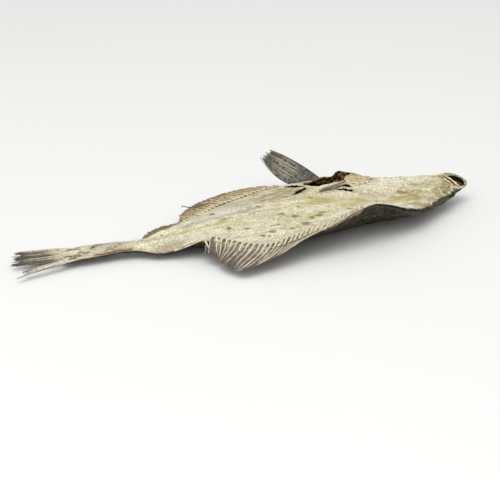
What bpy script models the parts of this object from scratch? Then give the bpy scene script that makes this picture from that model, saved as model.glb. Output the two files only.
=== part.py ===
"""A dried flounder, lying with its pale blind side up, as one solid.

The fish is drawn in its own frame, in millimetres: x runs along the backbone from tail to snout, y from
the dorsal edge at -y to the belly edge at +y, and z is the height above the surface that it lies on. The
body is a loft through sections that stand across the fish, and a fin is a loft through sections that
follow its rays. Two cutters open the mouth and the gut, and one Boolean union joins the fins, the gut's
torn wall and the bumps of the head to the body.
"""

import math

import bmesh
import bpy
import numpy as np
from mathutils import Matrix, Vector

MM = 0.001
SOLVER = "MANIFOLD"
SHARP_DEG = 45
SKIN_COLOUR, SKIN_ROUGHNESS = (0.60, 0.54, 0.36, 1.0), 0.62

# The middle of the fish's length and width in its own frame. The object is moved so that it is x = y = 0.
BOX_MIDDLE = (9.3, 5.7)

# The two edges of the body without its fins: x, y and the height of the edge's middle.
DORSAL_EDGE = (
    (-122, -11.5, 5.0), (-100, -12.0, 6.0), (-85, -11.5, 6.4), (-74, -14.0, 6.0), (-66, -20.0, 5.2),
    (-57, -22.5, 6.0), (-48, -25.0, 9.5), (-38, -29.5, 12.5), (-28, -43.0, 13.0), (-19, -54.5, 13.0),
    (-8, -61.5, 13.5), (8, -61.0, 15.5), (25, -57.0, 18.0), (42, -55.5, 21.0), (56, -52.5, 25.0),
    (70, -50.0, 27.6), (84, -45.5, 24.0), (97, -43.0, 19.0), (110, -38.5, 15.2), (122, -31.5, 13.0),
    (139, -18.5, 11.8), (152, -9.5, 11.2), (160, -3.5, 11.2), (167, 1.0, 11.2), (172, 4.5, 11.6),
    (176, 8.0, 12.0),
)  # fmt: skip
BELLY_EDGE = (
    (-122, 9.0, 4.4), (-100, 10.0, 4.8), (-84, 7.0, 5.0), (-73, 3.5, 5.0), (-66, 3.0, 5.2),
    (-57, 9.5, 5.4), (-48, 14.5, 5.6), (-38, 19.5, 5.6), (-30, 25.5, 5.6), (-16, 33.5, 6.0),
    (0, 43.5, 7.0), (16, 49.5, 7.6), (32, 56.5, 8.0), (48, 61.5, 8.4), (62, 63.5, 8.6),
    (78, 62.0, 8.6), (90, 58.5, 8.4), (104, 51.5, 8.6), (116, 46.0, 9.6), (128, 39.5, 10.8),
    (138, 32.5, 11.8), (148, 27.0, 12.8), (157, 21.5, 13.6), (163, 17.5, 14.4), (168, 15.0, 14.4),
    (172, 14.0, 13.6), (176, 12.5, 12.2),
)  # fmt: skip
# The backbone: x, y, the height of the skin above it and of the skin below it. The floor flattens what
# would reach below 0.
BACKBONE = (
    (-122, -1.5, 6.6, 2.8), (-100, -1.5, 8.2, 2.4), (-80, -3.5, 8.8, 2.4), (-60, -4.0, 10.5, 2.4),
    (-40, -4.5, 12.8, 2.0), (-20, -5.0, 14.6, 0.8), (0, -4.0, 15.6, -0.4), (25, 0.0, 16.4, -0.9),
    (50, 4.0, 16.8, -0.9), (75, 7.0, 17.0, -0.7), (95, 7.5, 17.2, 0.2), (115, 7.0, 17.6, 2.2),
    (135, 7.0, 18.2, 4.5), (152, 8.0, 18.2, 6.8), (166, 8.0, 16.5, 9.4), (176, 10.0, 14.5, 11.2),
)  # fmt: skip
# x, then half the thickness of an edge or how late a section curls towards it.
DORSAL_RIM = (
    (-122, 1.2), (-60, 1.5), (0, 1.6), (70, 2.0), (90, 2.8), (110, 4.0), (145, 4.2), (158, 2.6),
    (168, 1.1), (176, 0.9),
)  # fmt: skip
BELLY_RIM = (
    (-122, 1.2), (0, 1.4), (60, 1.8), (78, 3.4), (95, 4.4), (112, 3.8), (125, 3.0), (160, 2.2), (176, 0.9),
)  # fmt: skip
DORSAL_CURL = ((-122, 2.0), (0, 2.6), (70, 3.0), (120, 2.4), (176, 2.0))
BELLY_CURL = 2.2
# The shape of a section: how much of the rim is left at the very edge, how square the rim is, and how
# fast the flesh thins from the backbone towards it.
RIM_LEFT, RIM_SQUARENESS, FLESH_TAPER = 0.35, 6, 1.15

TAIL_ROOT_X, SNOUT_X, SNOUT_ROUNDS_FROM_X = -121.0, 175.6, 169.5
HEAD_X = 150.0
BODY_SECTIONS, HEAD_SECTIONS, POINTS_ACROSS = 58, 16, 16

# Where a fin's ray roots along the edge, as x, and then its tip from there in x, y and z.
DORSAL_RAYS = (
    (-46, -4, -1.5, -1), (-41, -5, -3, -2), (-37, -4, -7, -3), (-34.5, -2.5, -11, -5), (-30, -6, -10, -7),
    (-24, -13, -6, -8), (-18, -17, -7, -8), (-10, -22, -9, -8), (0, -25, -8.5, -8), (10, -25, -8, -8),
    (20, -20, -7, -6.5), (28, -15, -4, -4), (37, -9.5, -2.5, -1.5), (47, -6, -2.2, -0.5), (60, -4, -2, 0.3),
    (84, -3, -1.6, 0.5), (150, -2.5, -1.2, 0),
)  # fmt: skip
ANAL_RAYS = (
    (-66, -2, 3, 0), (-60, -2, 6, 0.3), (-50, -2, 7, 0.5), (-40, -2, 6.5, 0.5), (-33, -1, 3, 0.5),
    (-30, -1, 4.5, 0.6), (-27, -2, 8.5, 0.6), (-20, -7, 8.5, 0.6), (0, -11, 9, 1), (20, -12, 9, 1.5),
    (36, -11, 8, 1), (50, -8, 6, 0.5), (62, -4, 3.5, 0), (74, -2, 2, 0),
)  # fmt: skip
RAY_SPACING = 3.9
RAY_THICKNESS, MEMBRANE_THICKNESS = 1.15, 0.7
FIN_ROOT_DEPTH = 3.0
FIN_ROWS = 4
FIN_BOW = 0.08
MEMBRANE_NOTCH = 0.06

CAUDAL_HUB = (-104.0, -1.0, 5.4)
CAUDAL_ROOT_RADIUS, CAUDAL_ROOT_WIDTH = 6.0, 18.0
CAUDAL_RAYS = 19
CAUDAL_ANGLES = (29.0, -24.0)
CAUDAL_SPLIT, CAUDAL_SPLIT_DEG = 13, 5.0
CAUDAL_RADII = ((0, 43), (4, 47), (8, 46), (12, 49), (13, 48), (16, 51), (18, 58))

# The two pelvic fins as fans: the ends of the row of roots, of the row of tips, and each end ray's bow.
UPRIGHT_FIN = (
    ((88.5, 57.2, 9.5), (83.0, 58.5, 6.5)),
    ((56.0, 78.5, 30.5), (52.0, 82.5, 25.5)),
    ((0.0, 0.0, 2.6), (-3.5, -1.0, -7.0)),
)
FLAT_FIN_ROOTS = ((96.5, 37.0), (90.0, 24.5))
FLAT_FIN_TIPS = ((68.0, 21.5), (62.0, 14.5))
FLAT_FIN_BOWS = ((0.0, 0.0, 0.6), (0.0, 0.0, 0.6))
FLAT_FIN_LIFT = 0.5
PELVIC_RAYS = 7

MOUTH_CENTRE = (164.5, 7.1, 15.2)
MOUTH_AXIS = (0.94, 0.25, -0.20)
MOUTH_NORMAL = (0.30, -0.42, 0.86)
MOUTH_LONG, MOUTH_SHORT = 9.4, 6.0
MOUTH_DEPTH, LIP_WIDTH, LIP_HEIGHT = 5.0, 1.2, 1.0

GUT_CENTRE = (88.0, 48.5, 14.8)
GUT_SIZE = (16.5, 7.6, 7.5)
GUT_TURN_DEG = -22.0
# The torn far wall of the gut: x, how far it leans in over the opening, and its height over the edge.
GUT_WALL = (
    (80, 0.5, 2), (86, 2, 5.5), (92, 4.5, 10), (97, 6, 12), (103, 5.5, 9.5), (110, 3, 6), (116, 1, 3),
)  # fmt: skip
GUT_WALL_RAYS = 12
GUT_WALL_BOW, GUT_WALL_WAVE = 2.2, 0.9

# The dried eyes and the ends of the jaw bones under the head: x and y, then half their length, width and
# height. Their centres are on the skin.
HEAD_BUMPS = (
    ((143.5, -11.0), (4.8, 4.6, 1.8)),
    ((149.5, 0.5), (4.6, 4.4, 1.8)),
    ((156.5, -3.5), (3.0, 2.2, 1.6)),
    ((163.5, 2.2), (2.8, 1.8, 1.4)),
)

# Fin rays that have come loose, as a few points of each.
LOOSE_RAYS = (
    ((4, 51, 7.5), (-8, 48, 8.2), (-16, 44.5, 8.8), (-20, 45.5, 9.2), (-22, 47.5, 9.4), (-23.5, 44.5, 9.6)),
    ((-35.5, -30, 12.0), (-37, -29.5, 8.5), (-37.5, -31, 6.5), (-39, -32, 4.5)),
)
LOOSE_RAY_RADIUS = 0.55

# Low forms of the blind side: the groove along the backbone, the muscle's swell either side of it, the
# edge of the gill cover as an arc, and the hollow line that runs from it over the cheek.
GROOVE_DEPTH, GROOVE_V, GROOVE_WIDTH = 0.9, 0.02, 0.07
MUSCLE_HEIGHT = 0.5
GILL_EDGE_X, GILL_EDGE_Y, GILL_EDGE_BEND, GILL_COVER_HEIGHT = 86.0, 8.0, 0.012, 0.9
CHEEK_LINE = ((84, 4), (98, 0.5), (106, -1), (112, -6), (118, -11), (127, -9.5), (137, -8.5), (150, -7))
CHEEK_DEPTH, CHEEK_WIDTH = 1.3, 2.4


def curve(points, column=1):
    """A smooth function of the points' first number: cubic pieces whose slopes match where they meet."""
    xs = np.array([p[0] for p in points], float)
    ys = np.array([p[column] for p in points], float)
    slopes = np.gradient(ys, xs)

    def at(x):
        x = np.clip(np.asarray(x, float), xs[0], xs[-1])
        i = np.clip(np.searchsorted(xs, x) - 1, 0, len(xs) - 2)
        step = xs[i + 1] - xs[i]
        t = (x - xs[i]) / step
        rise = t * t * (3 - 2 * t)
        bend = t * (1 - t) ** 2 * slopes[i] - t * t * (1 - t) * slopes[i + 1]
        return ys[i] * (1 - rise) + ys[i + 1] * rise + step * bend

    return at


def smooth_step(low, high, x):
    t = np.clip((x - low) / (high - low), 0, 1)
    return t * t * (3 - 2 * t)


def mouth_frame():
    """Unit vectors along the mouth, across it and out of it."""
    normal = unit(MOUTH_NORMAL)
    across = unit(np.cross(normal, MOUTH_AXIS))
    return np.cross(across, normal), across, normal


def unit(vector):
    vector = np.asarray(vector, float)
    return vector / np.linalg.norm(vector)


dorsal_y, dorsal_z = curve(DORSAL_EDGE, 1), curve(DORSAL_EDGE, 2)
belly_y, belly_z = curve(BELLY_EDGE, 1), curve(BELLY_EDGE, 2)
backbone_y, back_top, back_under = (curve(BACKBONE, n) for n in (1, 2, 3))
dorsal_rim, belly_rim, dorsal_curl = curve(DORSAL_RIM), curve(BELLY_RIM), curve(DORSAL_CURL)
cheek_y = curve(CHEEK_LINE)


def snout_rounding(x):
    """1 along the fish, falling towards 0 round the snout."""
    t = np.clip((x - SNOUT_ROUNDS_FROM_X) / (SNOUT_X - SNOUT_ROUNDS_FROM_X), 0, 1)
    return np.sqrt(np.maximum(1 - t**2.4, 0.02))


def body_point(x, v, side):
    """A point of the skin: v runs from -1 at the dorsal edge to 1 at the belly edge, side is 1 above."""
    q = np.abs(v)
    to_belly = v > 0
    edge_y = np.where(to_belly, belly_y(x), dorsal_y(x))
    edge_z = np.where(to_belly, belly_z(x), dorsal_z(x))
    rim = np.where(to_belly, belly_rim(x), dorsal_rim(x))
    curl = np.where(to_belly, BELLY_CURL, dorsal_curl(x))
    rounding = snout_rounding(x)
    middle = (back_top(x) + back_under(x)) / 2
    core = (back_top(x) - back_under(x)) / 2
    y = backbone_y(x) + (edge_y - backbone_y(x)) * q * rounding
    height = middle + (edge_z - middle) * q**curl
    at_rim = rim * (RIM_LEFT + (1 - RIM_LEFT) * np.sqrt(1 - q**RIM_SQUARENESS))
    half = at_rim + (core - rim) * (1 - q**2) ** FLESH_TAPER
    z = height + side * half * rounding
    if side > 0:
        z = np.maximum(shape_mouth(x, y, z + relief(x, y, v)), height)
    return x, y, np.maximum(z, 0.0)


def mouth_place(x, y):
    """How far out a place is from the mouth's centre, where 1 is on the lips, and their height there."""
    along, across, normal = mouth_frame()
    dx, dy = x - MOUTH_CENTRE[0], y - MOUTH_CENTRE[1]
    dz = -(normal[0] * dx + normal[1] * dy) / normal[2]
    a = along[0] * dx + along[1] * dy + along[2] * dz
    b = across[0] * dx + across[1] * dy + across[2] * dz
    return np.hypot(a / MOUTH_LONG, b / MOUTH_SHORT), MOUTH_CENTRE[2] + dz


def shape_mouth(x, y, z):
    """The top of the snout, drawn towards the tilted plane of the lips, which stand up from it."""
    out, plane = mouth_place(x, y)
    near = 1 - smooth_step(1.3, 2.1, out)
    lips = LIP_HEIGHT * np.exp(-(((out - 1) * MOUTH_SHORT / LIP_WIDTH) ** 2))
    return z + (plane - z) * near + lips


def relief(x, y, v):
    """The blind side's large forms: the backbone's groove, the muscle, the gill cover and the cheek."""
    inner = 1 - v**4
    on_body = smooth_step(-110, -70, x) * (1 - smooth_step(78, 88, x))
    groove = -GROOVE_DEPTH * np.exp(-(((v - GROOVE_V) / GROOVE_WIDTH) ** 2)) * on_body
    muscle = -MUSCLE_HEIGHT * np.cos(v * 2 * math.pi) * on_body * inner
    gill_edge = GILL_EDGE_X + GILL_EDGE_BEND * (y - GILL_EDGE_Y) ** 2
    gill_cover = GILL_COVER_HEIGHT * smooth_step(-1.5, 1.5, x - gill_edge) * smooth_step(-16, -2, y) * inner
    on_head = smooth_step(90, 98, x) * (1 - smooth_step(140, 150, x))
    cheek = -CHEEK_DEPTH * np.exp(-(((y - cheek_y(x)) / CHEEK_WIDTH) ** 2)) * on_head
    return groove + muscle + gill_cover + cheek


def skin_height(x, y, side=1):
    """Height of the skin over a place of the fish, of the blind side above or the eyed side below."""
    edge_y = belly_y(x) if y > backbone_y(x) else dorsal_y(x)
    v = abs((y - backbone_y(x)) / (edge_y - backbone_y(x))) * (1 if y > backbone_y(x) else -1)
    return float(body_point(x, v, side)[2])


def body_sections():
    v = np.cos(np.linspace(0, math.pi, POINTS_ACROSS))
    on_body = np.linspace(TAIL_ROOT_X, HEAD_X, BODY_SECTIONS)
    on_head = HEAD_X + (SNOUT_X - HEAD_X) * np.sin(np.linspace(0, math.pi / 2, HEAD_SECTIONS))
    sections = []
    for x in [*on_body, *on_head[1:]]:
        above = np.stack(np.broadcast_arrays(*body_point(x, v, 1)), axis=-1)
        below = np.stack(np.broadcast_arrays(*body_point(x, v[::-1], -1)), axis=-1)
        sections.append(np.concatenate([above, below]))
    return sections


def ray_positions(edge_y, start, end):
    """x of each fin ray, evenly spaced along the edge."""
    x = np.linspace(start, end, 400)
    run = np.concatenate([[0], np.cumsum(np.hypot(np.diff(x), np.diff(edge_y(x))))])
    return np.interp(np.linspace(0, run[-1], int(run[-1] / RAY_SPACING)), run, x)


def edge_fin_rays(table, edge_y, edge_z, sign):
    """Root, tip and bow of each ray of a fin that runs along an edge."""
    reaches = [curve(table, n) for n in (1, 2, 3)]
    rays = []
    for x in ray_positions(edge_y, table[0][0], table[-1][0]):
        slope = float(edge_y(x + 1) - edge_y(x - 1)) / 2
        out = unit((-slope, 1, 0)) * sign
        margin = np.array([x, float(edge_y(x)), float(edge_z(x))])
        reach = np.array([float(along(x)) for along in reaches])
        rays.append((margin - out * FIN_ROOT_DEPTH, margin + reach, out * FIN_BOW * abs(reach[0])))
    return rays


def caudal_rays():
    """The tail fin's fan, whose last rays stand apart from the others."""
    hub = np.array(CAUDAL_HUB)
    radius = curve(CAUDAL_RADII)
    first, last = CAUDAL_ANGLES
    rays = []
    for n in range(CAUDAL_RAYS):
        share = n / (CAUDAL_RAYS - 1)
        jump = CAUDAL_SPLIT_DEG if n >= CAUDAL_SPLIT else 0
        angle = math.radians(180 - (first + (last - first + CAUDAL_SPLIT_DEG) * share - jump))
        droop = -1.8 + math.sin(n)
        tip = hub + np.array([math.cos(angle) * radius(n), math.sin(angle) * radius(n), droop])
        root = hub + np.array([-CAUDAL_ROOT_RADIUS, CAUDAL_ROOT_WIDTH * (0.5 - share), 0])
        rays.append((root, tip, np.array([0, 0, 0.8])))
    return rays


def fan_rays(roots, tips, bows, count=PELVIC_RAYS):
    """Rays spread between a fan's first and last."""
    rows = (np.linspace(np.array(ends[0]), np.array(ends[1]), count) for ends in (roots, tips, bows))
    return list(zip(*rows))


def on_skin(places, lift):
    return [(x, y, skin_height(x, y) + lift) for x, y in places]


def gut_wall_rays():
    """The far wall of the gut as a sheet that stands on the belly edge and leans in."""
    lean, rise = curve(GUT_WALL, 1), curve(GUT_WALL, 2)
    rays = []
    for n, x in enumerate(np.linspace(GUT_WALL[0][0], GUT_WALL[-1][0], GUT_WALL_RAYS)):
        foot = np.array([x, belly_y(x) - 2.0, belly_z(x)])
        wave = GUT_WALL_WAVE * math.sin(2.1 * n)
        tip = foot + np.array([0.0, wave - lean(x), rise(x) - 0.5 * wave])
        rays.append((foot, tip, np.array([0.0, GUT_WALL_BOW, 0.0])))
    return rays


def fin_sections(rays, rows=FIN_ROWS):
    """Sections of a fin, one along each ray and one along each membrane between two rays."""
    roots, tips, bows = (np.array([r[n] for r in rays], float) for n in range(3))
    share = np.arange(2 * len(rays) - 1) / 2
    low, high = np.floor(share).astype(int), np.ceil(share).astype(int)
    is_ray = (low == high)[:, None]
    roots, tips, bows = ((a[low] + a[high])[:, None] / 2 for a in (roots, tips, bows))
    s = np.linspace(0, 1, rows)[None, :] * np.where(is_ray, 1.0, 1 - MEMBRANE_NOTCH)
    path = roots + (tips - roots) * s[..., None] + bows * (4 * s * (1 - s))[..., None]
    normal = np.cross(np.gradient(path, axis=0), np.gradient(path, axis=1))
    normal /= np.linalg.norm(normal, axis=2, keepdims=True)
    half = np.where(is_ray, RAY_THICKNESS * (1 - 0.45 * s), MEMBRANE_THICKNESS) / 2
    front, back = path + normal * half[..., None], path - normal * half[..., None]
    return [np.concatenate([f, b[::-1]]) for f, b in zip(front, back)]


def strand_sections(places, radius, rows=9):
    """Sections of a loose ray along a smooth curve through a few places."""
    share = np.linspace(0, 1, len(places))
    axes = [curve([(t, place[n]) for t, place in zip(share, places)]) for n in range(3)]
    path = np.stack([axis(np.linspace(0, 1, rows)) for axis in axes], axis=1)
    sections = []
    for centre, along in zip(path, np.gradient(path, axis=0)):
        level = unit(np.cross((0, 0, 1), along))
        steep = unit(np.cross(along, level))
        turn = np.linspace(0, 2 * math.pi, 6, endpoint=False)[:, None]
        sections.append(centre + radius * (level * np.cos(turn) + steep * np.sin(turn)))
    return sections


def add_loft(name, sections, collection):
    """A solid through sections of the same even number of points, with a ladder of faces at each end."""
    points = np.concatenate(sections)
    size, count = len(sections[0]), len(sections)
    faces = []
    for start in range(0, (count - 1) * size, size):
        for i in range(size):
            j = (i + 1) % size
            faces.append((start + i, start + j, start + size + j, start + size + i))
    end = (count - 1) * size
    for i in range(size // 2 - 1):
        k = size - 1 - i
        faces.append((i, k, k - 1, i + 1))
        faces.append((end + i, end + i + 1, end + k - 1, end + k))
    mesh = bpy.data.meshes.new(name)
    mesh.from_pydata((points * MM).tolist(), [], faces)
    return add_object(name, mesh, collection)


def add_object(name, mesh, collection):
    """An object of a mesh, with its faces turned outwards."""
    shape = bmesh.new()
    shape.from_mesh(mesh)
    bmesh.ops.recalc_face_normals(shape, faces=shape.faces)
    shape.to_mesh(mesh)
    shape.free()
    piece = bpy.data.objects.new(name, mesh)
    collection.objects.link(piece)
    return piece


def add_ellipsoid(name, centre, sizes, axes, collection, segments=20):
    """An ellipsoid with half-lengths sizes along three unit vectors."""
    turn = Matrix([Vector(axis) for axis in axes]).transposed().to_4x4()
    place = Matrix.Translation(Vector(centre) * MM) @ turn @ Matrix.Diagonal((*(s * MM for s in sizes), 1))
    ball = bmesh.new()
    bmesh.ops.create_uvsphere(ball, u_segments=segments, v_segments=segments // 2, radius=1, matrix=place)
    mesh = bpy.data.meshes.new(name)
    ball.to_mesh(mesh)
    ball.free()
    return add_object(name, mesh, collection)


def start_scene():
    for old in list(bpy.data.objects):
        bpy.data.objects.remove(old)
    groups = []
    for name in ("dried_flounder", "pieces", "cutters"):
        group = bpy.data.collections.new(name)
        bpy.context.scene.collection.children.link(group)
        groups.append(group)
    return groups


def add_pieces(group):
    """What the union joins to the body."""
    add_loft("dorsal_fin", fin_sections(edge_fin_rays(DORSAL_RAYS, dorsal_y, dorsal_z, -1)), group)
    add_loft("anal_fin", fin_sections(edge_fin_rays(ANAL_RAYS, belly_y, belly_z, 1)), group)
    caudal = caudal_rays()
    add_loft("caudal_fin_upper", fin_sections(caudal[:CAUDAL_SPLIT]), group)
    add_loft("caudal_fin_lower", fin_sections(caudal[CAUDAL_SPLIT:]), group)
    add_loft("upright_fin", fin_sections(fan_rays(*UPRIGHT_FIN)), group)
    flat = (on_skin(FLAT_FIN_ROOTS, FLAT_FIN_LIFT), on_skin(FLAT_FIN_TIPS, FLAT_FIN_LIFT), FLAT_FIN_BOWS)
    add_loft("flat_fin", fin_sections(fan_rays(*flat)), group)
    add_loft("gut_wall", fin_sections(gut_wall_rays()), group)
    level = ((1, 0, 0), (0, 1, 0), (0, 0, 1))
    for n, ((x, y), sizes) in enumerate(HEAD_BUMPS):
        centre = (x, y, skin_height(x, y, -1))
        add_ellipsoid(f"head_bump_{n}", centre, sizes, level, group, 12)
    for n, places in enumerate(LOOSE_RAYS):
        add_loft(f"loose_ray_{n}", strand_sections(places, LOOSE_RAY_RADIUS), group)


def add_cutters(group):
    turn = math.radians(GUT_TURN_DEG)
    axes = ((math.cos(turn), math.sin(turn), 0), (-math.sin(turn), math.cos(turn), 0), (0, 0, 1))
    mouth = (MOUTH_LONG - LIP_WIDTH, MOUTH_SHORT - LIP_WIDTH, MOUTH_DEPTH)
    add_ellipsoid("mouth_cutter", MOUTH_CENTRE, mouth, mouth_frame(), group)
    add_ellipsoid("gut_cutter", GUT_CENTRE, GUT_SIZE, axes, group)
    for cutter in group.objects:
        cutter.hide_render = True
        cutter.display_type = "WIRE"


def apply_boolean(shape, operation, group):
    """The union or the difference of an object and a collection, which is then emptied."""
    step = shape.modifiers.new(operation.lower(), "BOOLEAN")
    step.operation = operation
    step.operand_type = "COLLECTION"
    step.collection = group
    step.solver = SOLVER
    bpy.context.view_layer.update()
    done = shape.evaluated_get(bpy.context.evaluated_depsgraph_get())
    mesh = bpy.data.meshes.new_from_object(done)
    shape.modifiers.clear()
    shape.data = mesh
    for piece in list(group.objects):
        bpy.data.objects.remove(piece)


def skin_material():
    skin = bpy.data.materials.new("dried_skin")
    skin.use_nodes = True
    shader = skin.node_tree.nodes["Principled BSDF"]
    shader.inputs["Base Color"].default_value = SKIN_COLOUR
    shader.inputs["Roughness"].default_value = SKIN_ROUGHNESS
    shader.inputs["Metallic"].default_value = 0.0
    return skin


def main():
    fish, pieces, cutters = start_scene()
    flounder = add_loft("flounder", body_sections(), fish)
    add_cutters(cutters)
    apply_boolean(flounder, "DIFFERENCE", cutters)
    add_pieces(pieces)
    apply_boolean(flounder, "UNION", pieces)
    flounder.location = (-BOX_MIDDLE[0] * MM, -BOX_MIDDLE[1] * MM, 0)
    flounder.data.materials.append(skin_material())
    flounder.data.shade_smooth()
    flounder.data.set_sharp_from_angle(angle=math.radians(SHARP_DEG))


if __name__ == "__main__":
    main()
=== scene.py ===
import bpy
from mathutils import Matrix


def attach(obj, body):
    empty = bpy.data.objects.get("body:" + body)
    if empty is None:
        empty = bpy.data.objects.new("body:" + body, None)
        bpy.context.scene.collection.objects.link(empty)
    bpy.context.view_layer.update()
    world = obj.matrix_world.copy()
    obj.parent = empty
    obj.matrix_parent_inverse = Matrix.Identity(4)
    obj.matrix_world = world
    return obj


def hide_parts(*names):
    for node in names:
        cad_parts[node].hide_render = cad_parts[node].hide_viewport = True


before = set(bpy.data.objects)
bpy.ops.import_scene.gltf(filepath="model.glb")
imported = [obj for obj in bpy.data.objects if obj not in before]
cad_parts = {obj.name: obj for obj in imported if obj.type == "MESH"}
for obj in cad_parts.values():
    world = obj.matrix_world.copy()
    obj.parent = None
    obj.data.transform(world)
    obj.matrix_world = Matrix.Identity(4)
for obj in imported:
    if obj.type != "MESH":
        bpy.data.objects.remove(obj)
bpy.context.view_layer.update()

# The looks of a dried flounder. As in its solid, lengths are in millimetres in the fish's own frame: x runs
# from tail to snout, y from the dorsal edge at -y to the belly edge at +y, and z is the height.

import math
from functools import cache

import bpy
import numpy as np
from mathutils import Vector

MM = 0.001
BOX_MIDDLE = (9.3, 5.7)

# ---- the fish's sizes, as in the solid

# The two edges as x, y and height, and the backbone as x, y and the heights of the skin above and below it.
DORSAL_EDGE = (
    (-122, -11.5, 5), (-100, -12, 6), (-85, -11.5, 6.4), (-74, -14, 6), (-66, -20, 5.2), (-57, -22.5, 6),
    (-48, -25, 9.5), (-38, -29.5, 12.5), (-28, -43, 13), (-19, -54.5, 13), (-8, -61.5, 13.5), (8, -61, 15.5),
    (25, -57, 18), (42, -55.5, 21), (56, -52.5, 25), (70, -50, 27.6), (84, -45.5, 24), (97, -43, 19),
    (110, -38.5, 15.2), (122, -31.5, 13), (139, -18.5, 11.8), (152, -9.5, 11.2), (160, -3.5, 11.2),
    (167, 1, 11.2), (172, 4.5, 11.6), (176, 8, 12),
)
BELLY_EDGE = (
    (-122, 9, 4.4), (-100, 10, 4.8), (-84, 7, 5), (-73, 3.5, 5), (-66, 3, 5.2), (-57, 9.5, 5.4),
    (-48, 14.5, 5.6), (-38, 19.5, 5.6), (-30, 25.5, 5.6), (-16, 33.5, 6), (0, 43.5, 7), (16, 49.5, 7.6),
    (32, 56.5, 8), (48, 61.5, 8.4), (62, 63.5, 8.6), (78, 62, 8.6), (90, 58.5, 8.4), (104, 51.5, 8.6),
    (116, 46, 9.6), (128, 39.5, 10.8), (138, 32.5, 11.8), (148, 27, 12.8), (157, 21.5, 13.6),
    (163, 17.5, 14.4), (168, 15, 14.4), (172, 14, 13.6), (176, 12.5, 12.2),
)
BACKBONE = (
    (-122, -1.5, 6.6, 2.8), (-100, -1.5, 8.2, 2.4), (-80, -3.5, 8.8, 2.4), (-60, -4, 10.5, 2.4),
    (-40, -4.5, 12.8, 2), (-20, -5, 14.6, 0.8), (0, -4, 15.6, -0.4), (25, 0, 16.4, -0.9),
    (50, 4, 16.8, -0.9), (75, 7, 17, -0.7), (95, 7.5, 17.2, 0.2), (115, 7, 17.6, 2.2), (135, 7, 18.2, 4.5),
    (152, 8, 18.2, 6.8), (166, 8, 16.5, 9.4), (176, 10, 14.5, 11.2),
)
# x, then half the thickness of an edge or how late a section curls towards it.
DORSAL_RIM = (
    (-122, 1.2), (-60, 1.5), (0, 1.6), (70, 2), (90, 2.8), (110, 4), (145, 4.2), (158, 2.6), (168, 1.1),
    (176, 0.9),
)
BELLY_RIM = (
    (-122, 1.2), (0, 1.4), (60, 1.8), (78, 3.4), (95, 4.4), (112, 3.8), (125, 3), (160, 2.2), (176, 0.9),
)
DORSAL_CURL = ((-122, 2), (0, 2.6), (70, 3), (120, 2.4), (176, 2))
BELLY_CURL = 2.2
RIM_SQUARENESS, FLESH_TAPER = 6, 1.15
TAIL_ROOT_X, SNOUT_X, SNOUT_ROUNDS_FROM_X = -121, 175.6, 169.5

# The x where a ray has its root on the edge, and then its tip from there in x, y and z.
DORSAL_RAYS = (
    (-46, -4, -1.5, -1), (-41, -5, -3, -2), (-37, -4, -7, -3), (-34.5, -2.5, -11, -5), (-30, -6, -10, -7),
    (-24, -13, -6, -8), (-18, -17, -7, -8), (-10, -22, -9, -8), (0, -25, -8.5, -8), (10, -25, -8, -8),
    (20, -20, -7, -6.5), (28, -15, -4, -4), (37, -9.5, -2.5, -1.5), (47, -6, -2.2, -0.5), (60, -4, -2, 0.3),
    (84, -3, -1.6, 0.5), (150, -2.5, -1.2, 0),
)
ANAL_RAYS = (
    (-66, -2, 3, 0), (-60, -2, 6, 0.3), (-50, -2, 7, 0.5), (-40, -2, 6.5, 0.5), (-33, -1, 3, 0.5),
    (-30, -1, 4.5, 0.6), (-27, -2, 8.5, 0.6), (-20, -7, 8.5, 0.6), (0, -11, 9, 1), (20, -12, 9, 1.5),
    (36, -11, 8, 1), (50, -8, 6, 0.5), (62, -4, 3.5, 0), (74, -2, 2, 0),
)
RAY_SPACING, FIN_ROOT_DEPTH, FIN_BOW = 3.9, 3, 0.08

# The tail fin: the point from which its rays spread, the directions of the first and the last in degrees,
# the ray at which it splits, and the lengths of some rays.
CAUDAL_HUB = (-104, -1, 5.4)
CAUDAL_ROOT_RADIUS, CAUDAL_ROOT_WIDTH = 6, 18
CAUDAL_RAYS = 19
CAUDAL_ANGLES = (29, -24)
CAUDAL_SPLIT, CAUDAL_SPLIT_DEG = 13, 5
CAUDAL_RADII = ((0, 43), (4, 47), (8, 46), (12, 49), (13, 48), (16, 51), (18, 58))

# Two fins as fans: the ends of the row of roots and of the row of tips, and each end ray's bow.
UPRIGHT_FIN = (
    ((88.5, 57.2, 9.5), (83, 58.5, 6.5)), ((56, 78.5, 30.5), (52, 82.5, 25.5)),
    ((0, 0, 2.6), (-3.5, -1, -7)),
)
FLAT_FIN_ROOTS = ((96.5, 37), (90, 24.5))
FLAT_FIN_TIPS = ((68, 21.5), (62, 14.5))
FLAT_FIN_BOWS = ((0, 0, 0.6), (0, 0, 0.6))
FLAT_FIN_LIFT = 0.5

MOUTH_CENTRE = (164.5, 7.1, 15.2)
MOUTH_AXIS = (0.94, 0.25, -0.2)
MOUTH_NORMAL = (0.3, -0.42, 0.86)
MOUTH_LONG, MOUTH_SHORT = 9.4, 6
MOUTH_DEPTH, LIP_WIDTH, LIP_HEIGHT = 5, 1.2, 1

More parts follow.
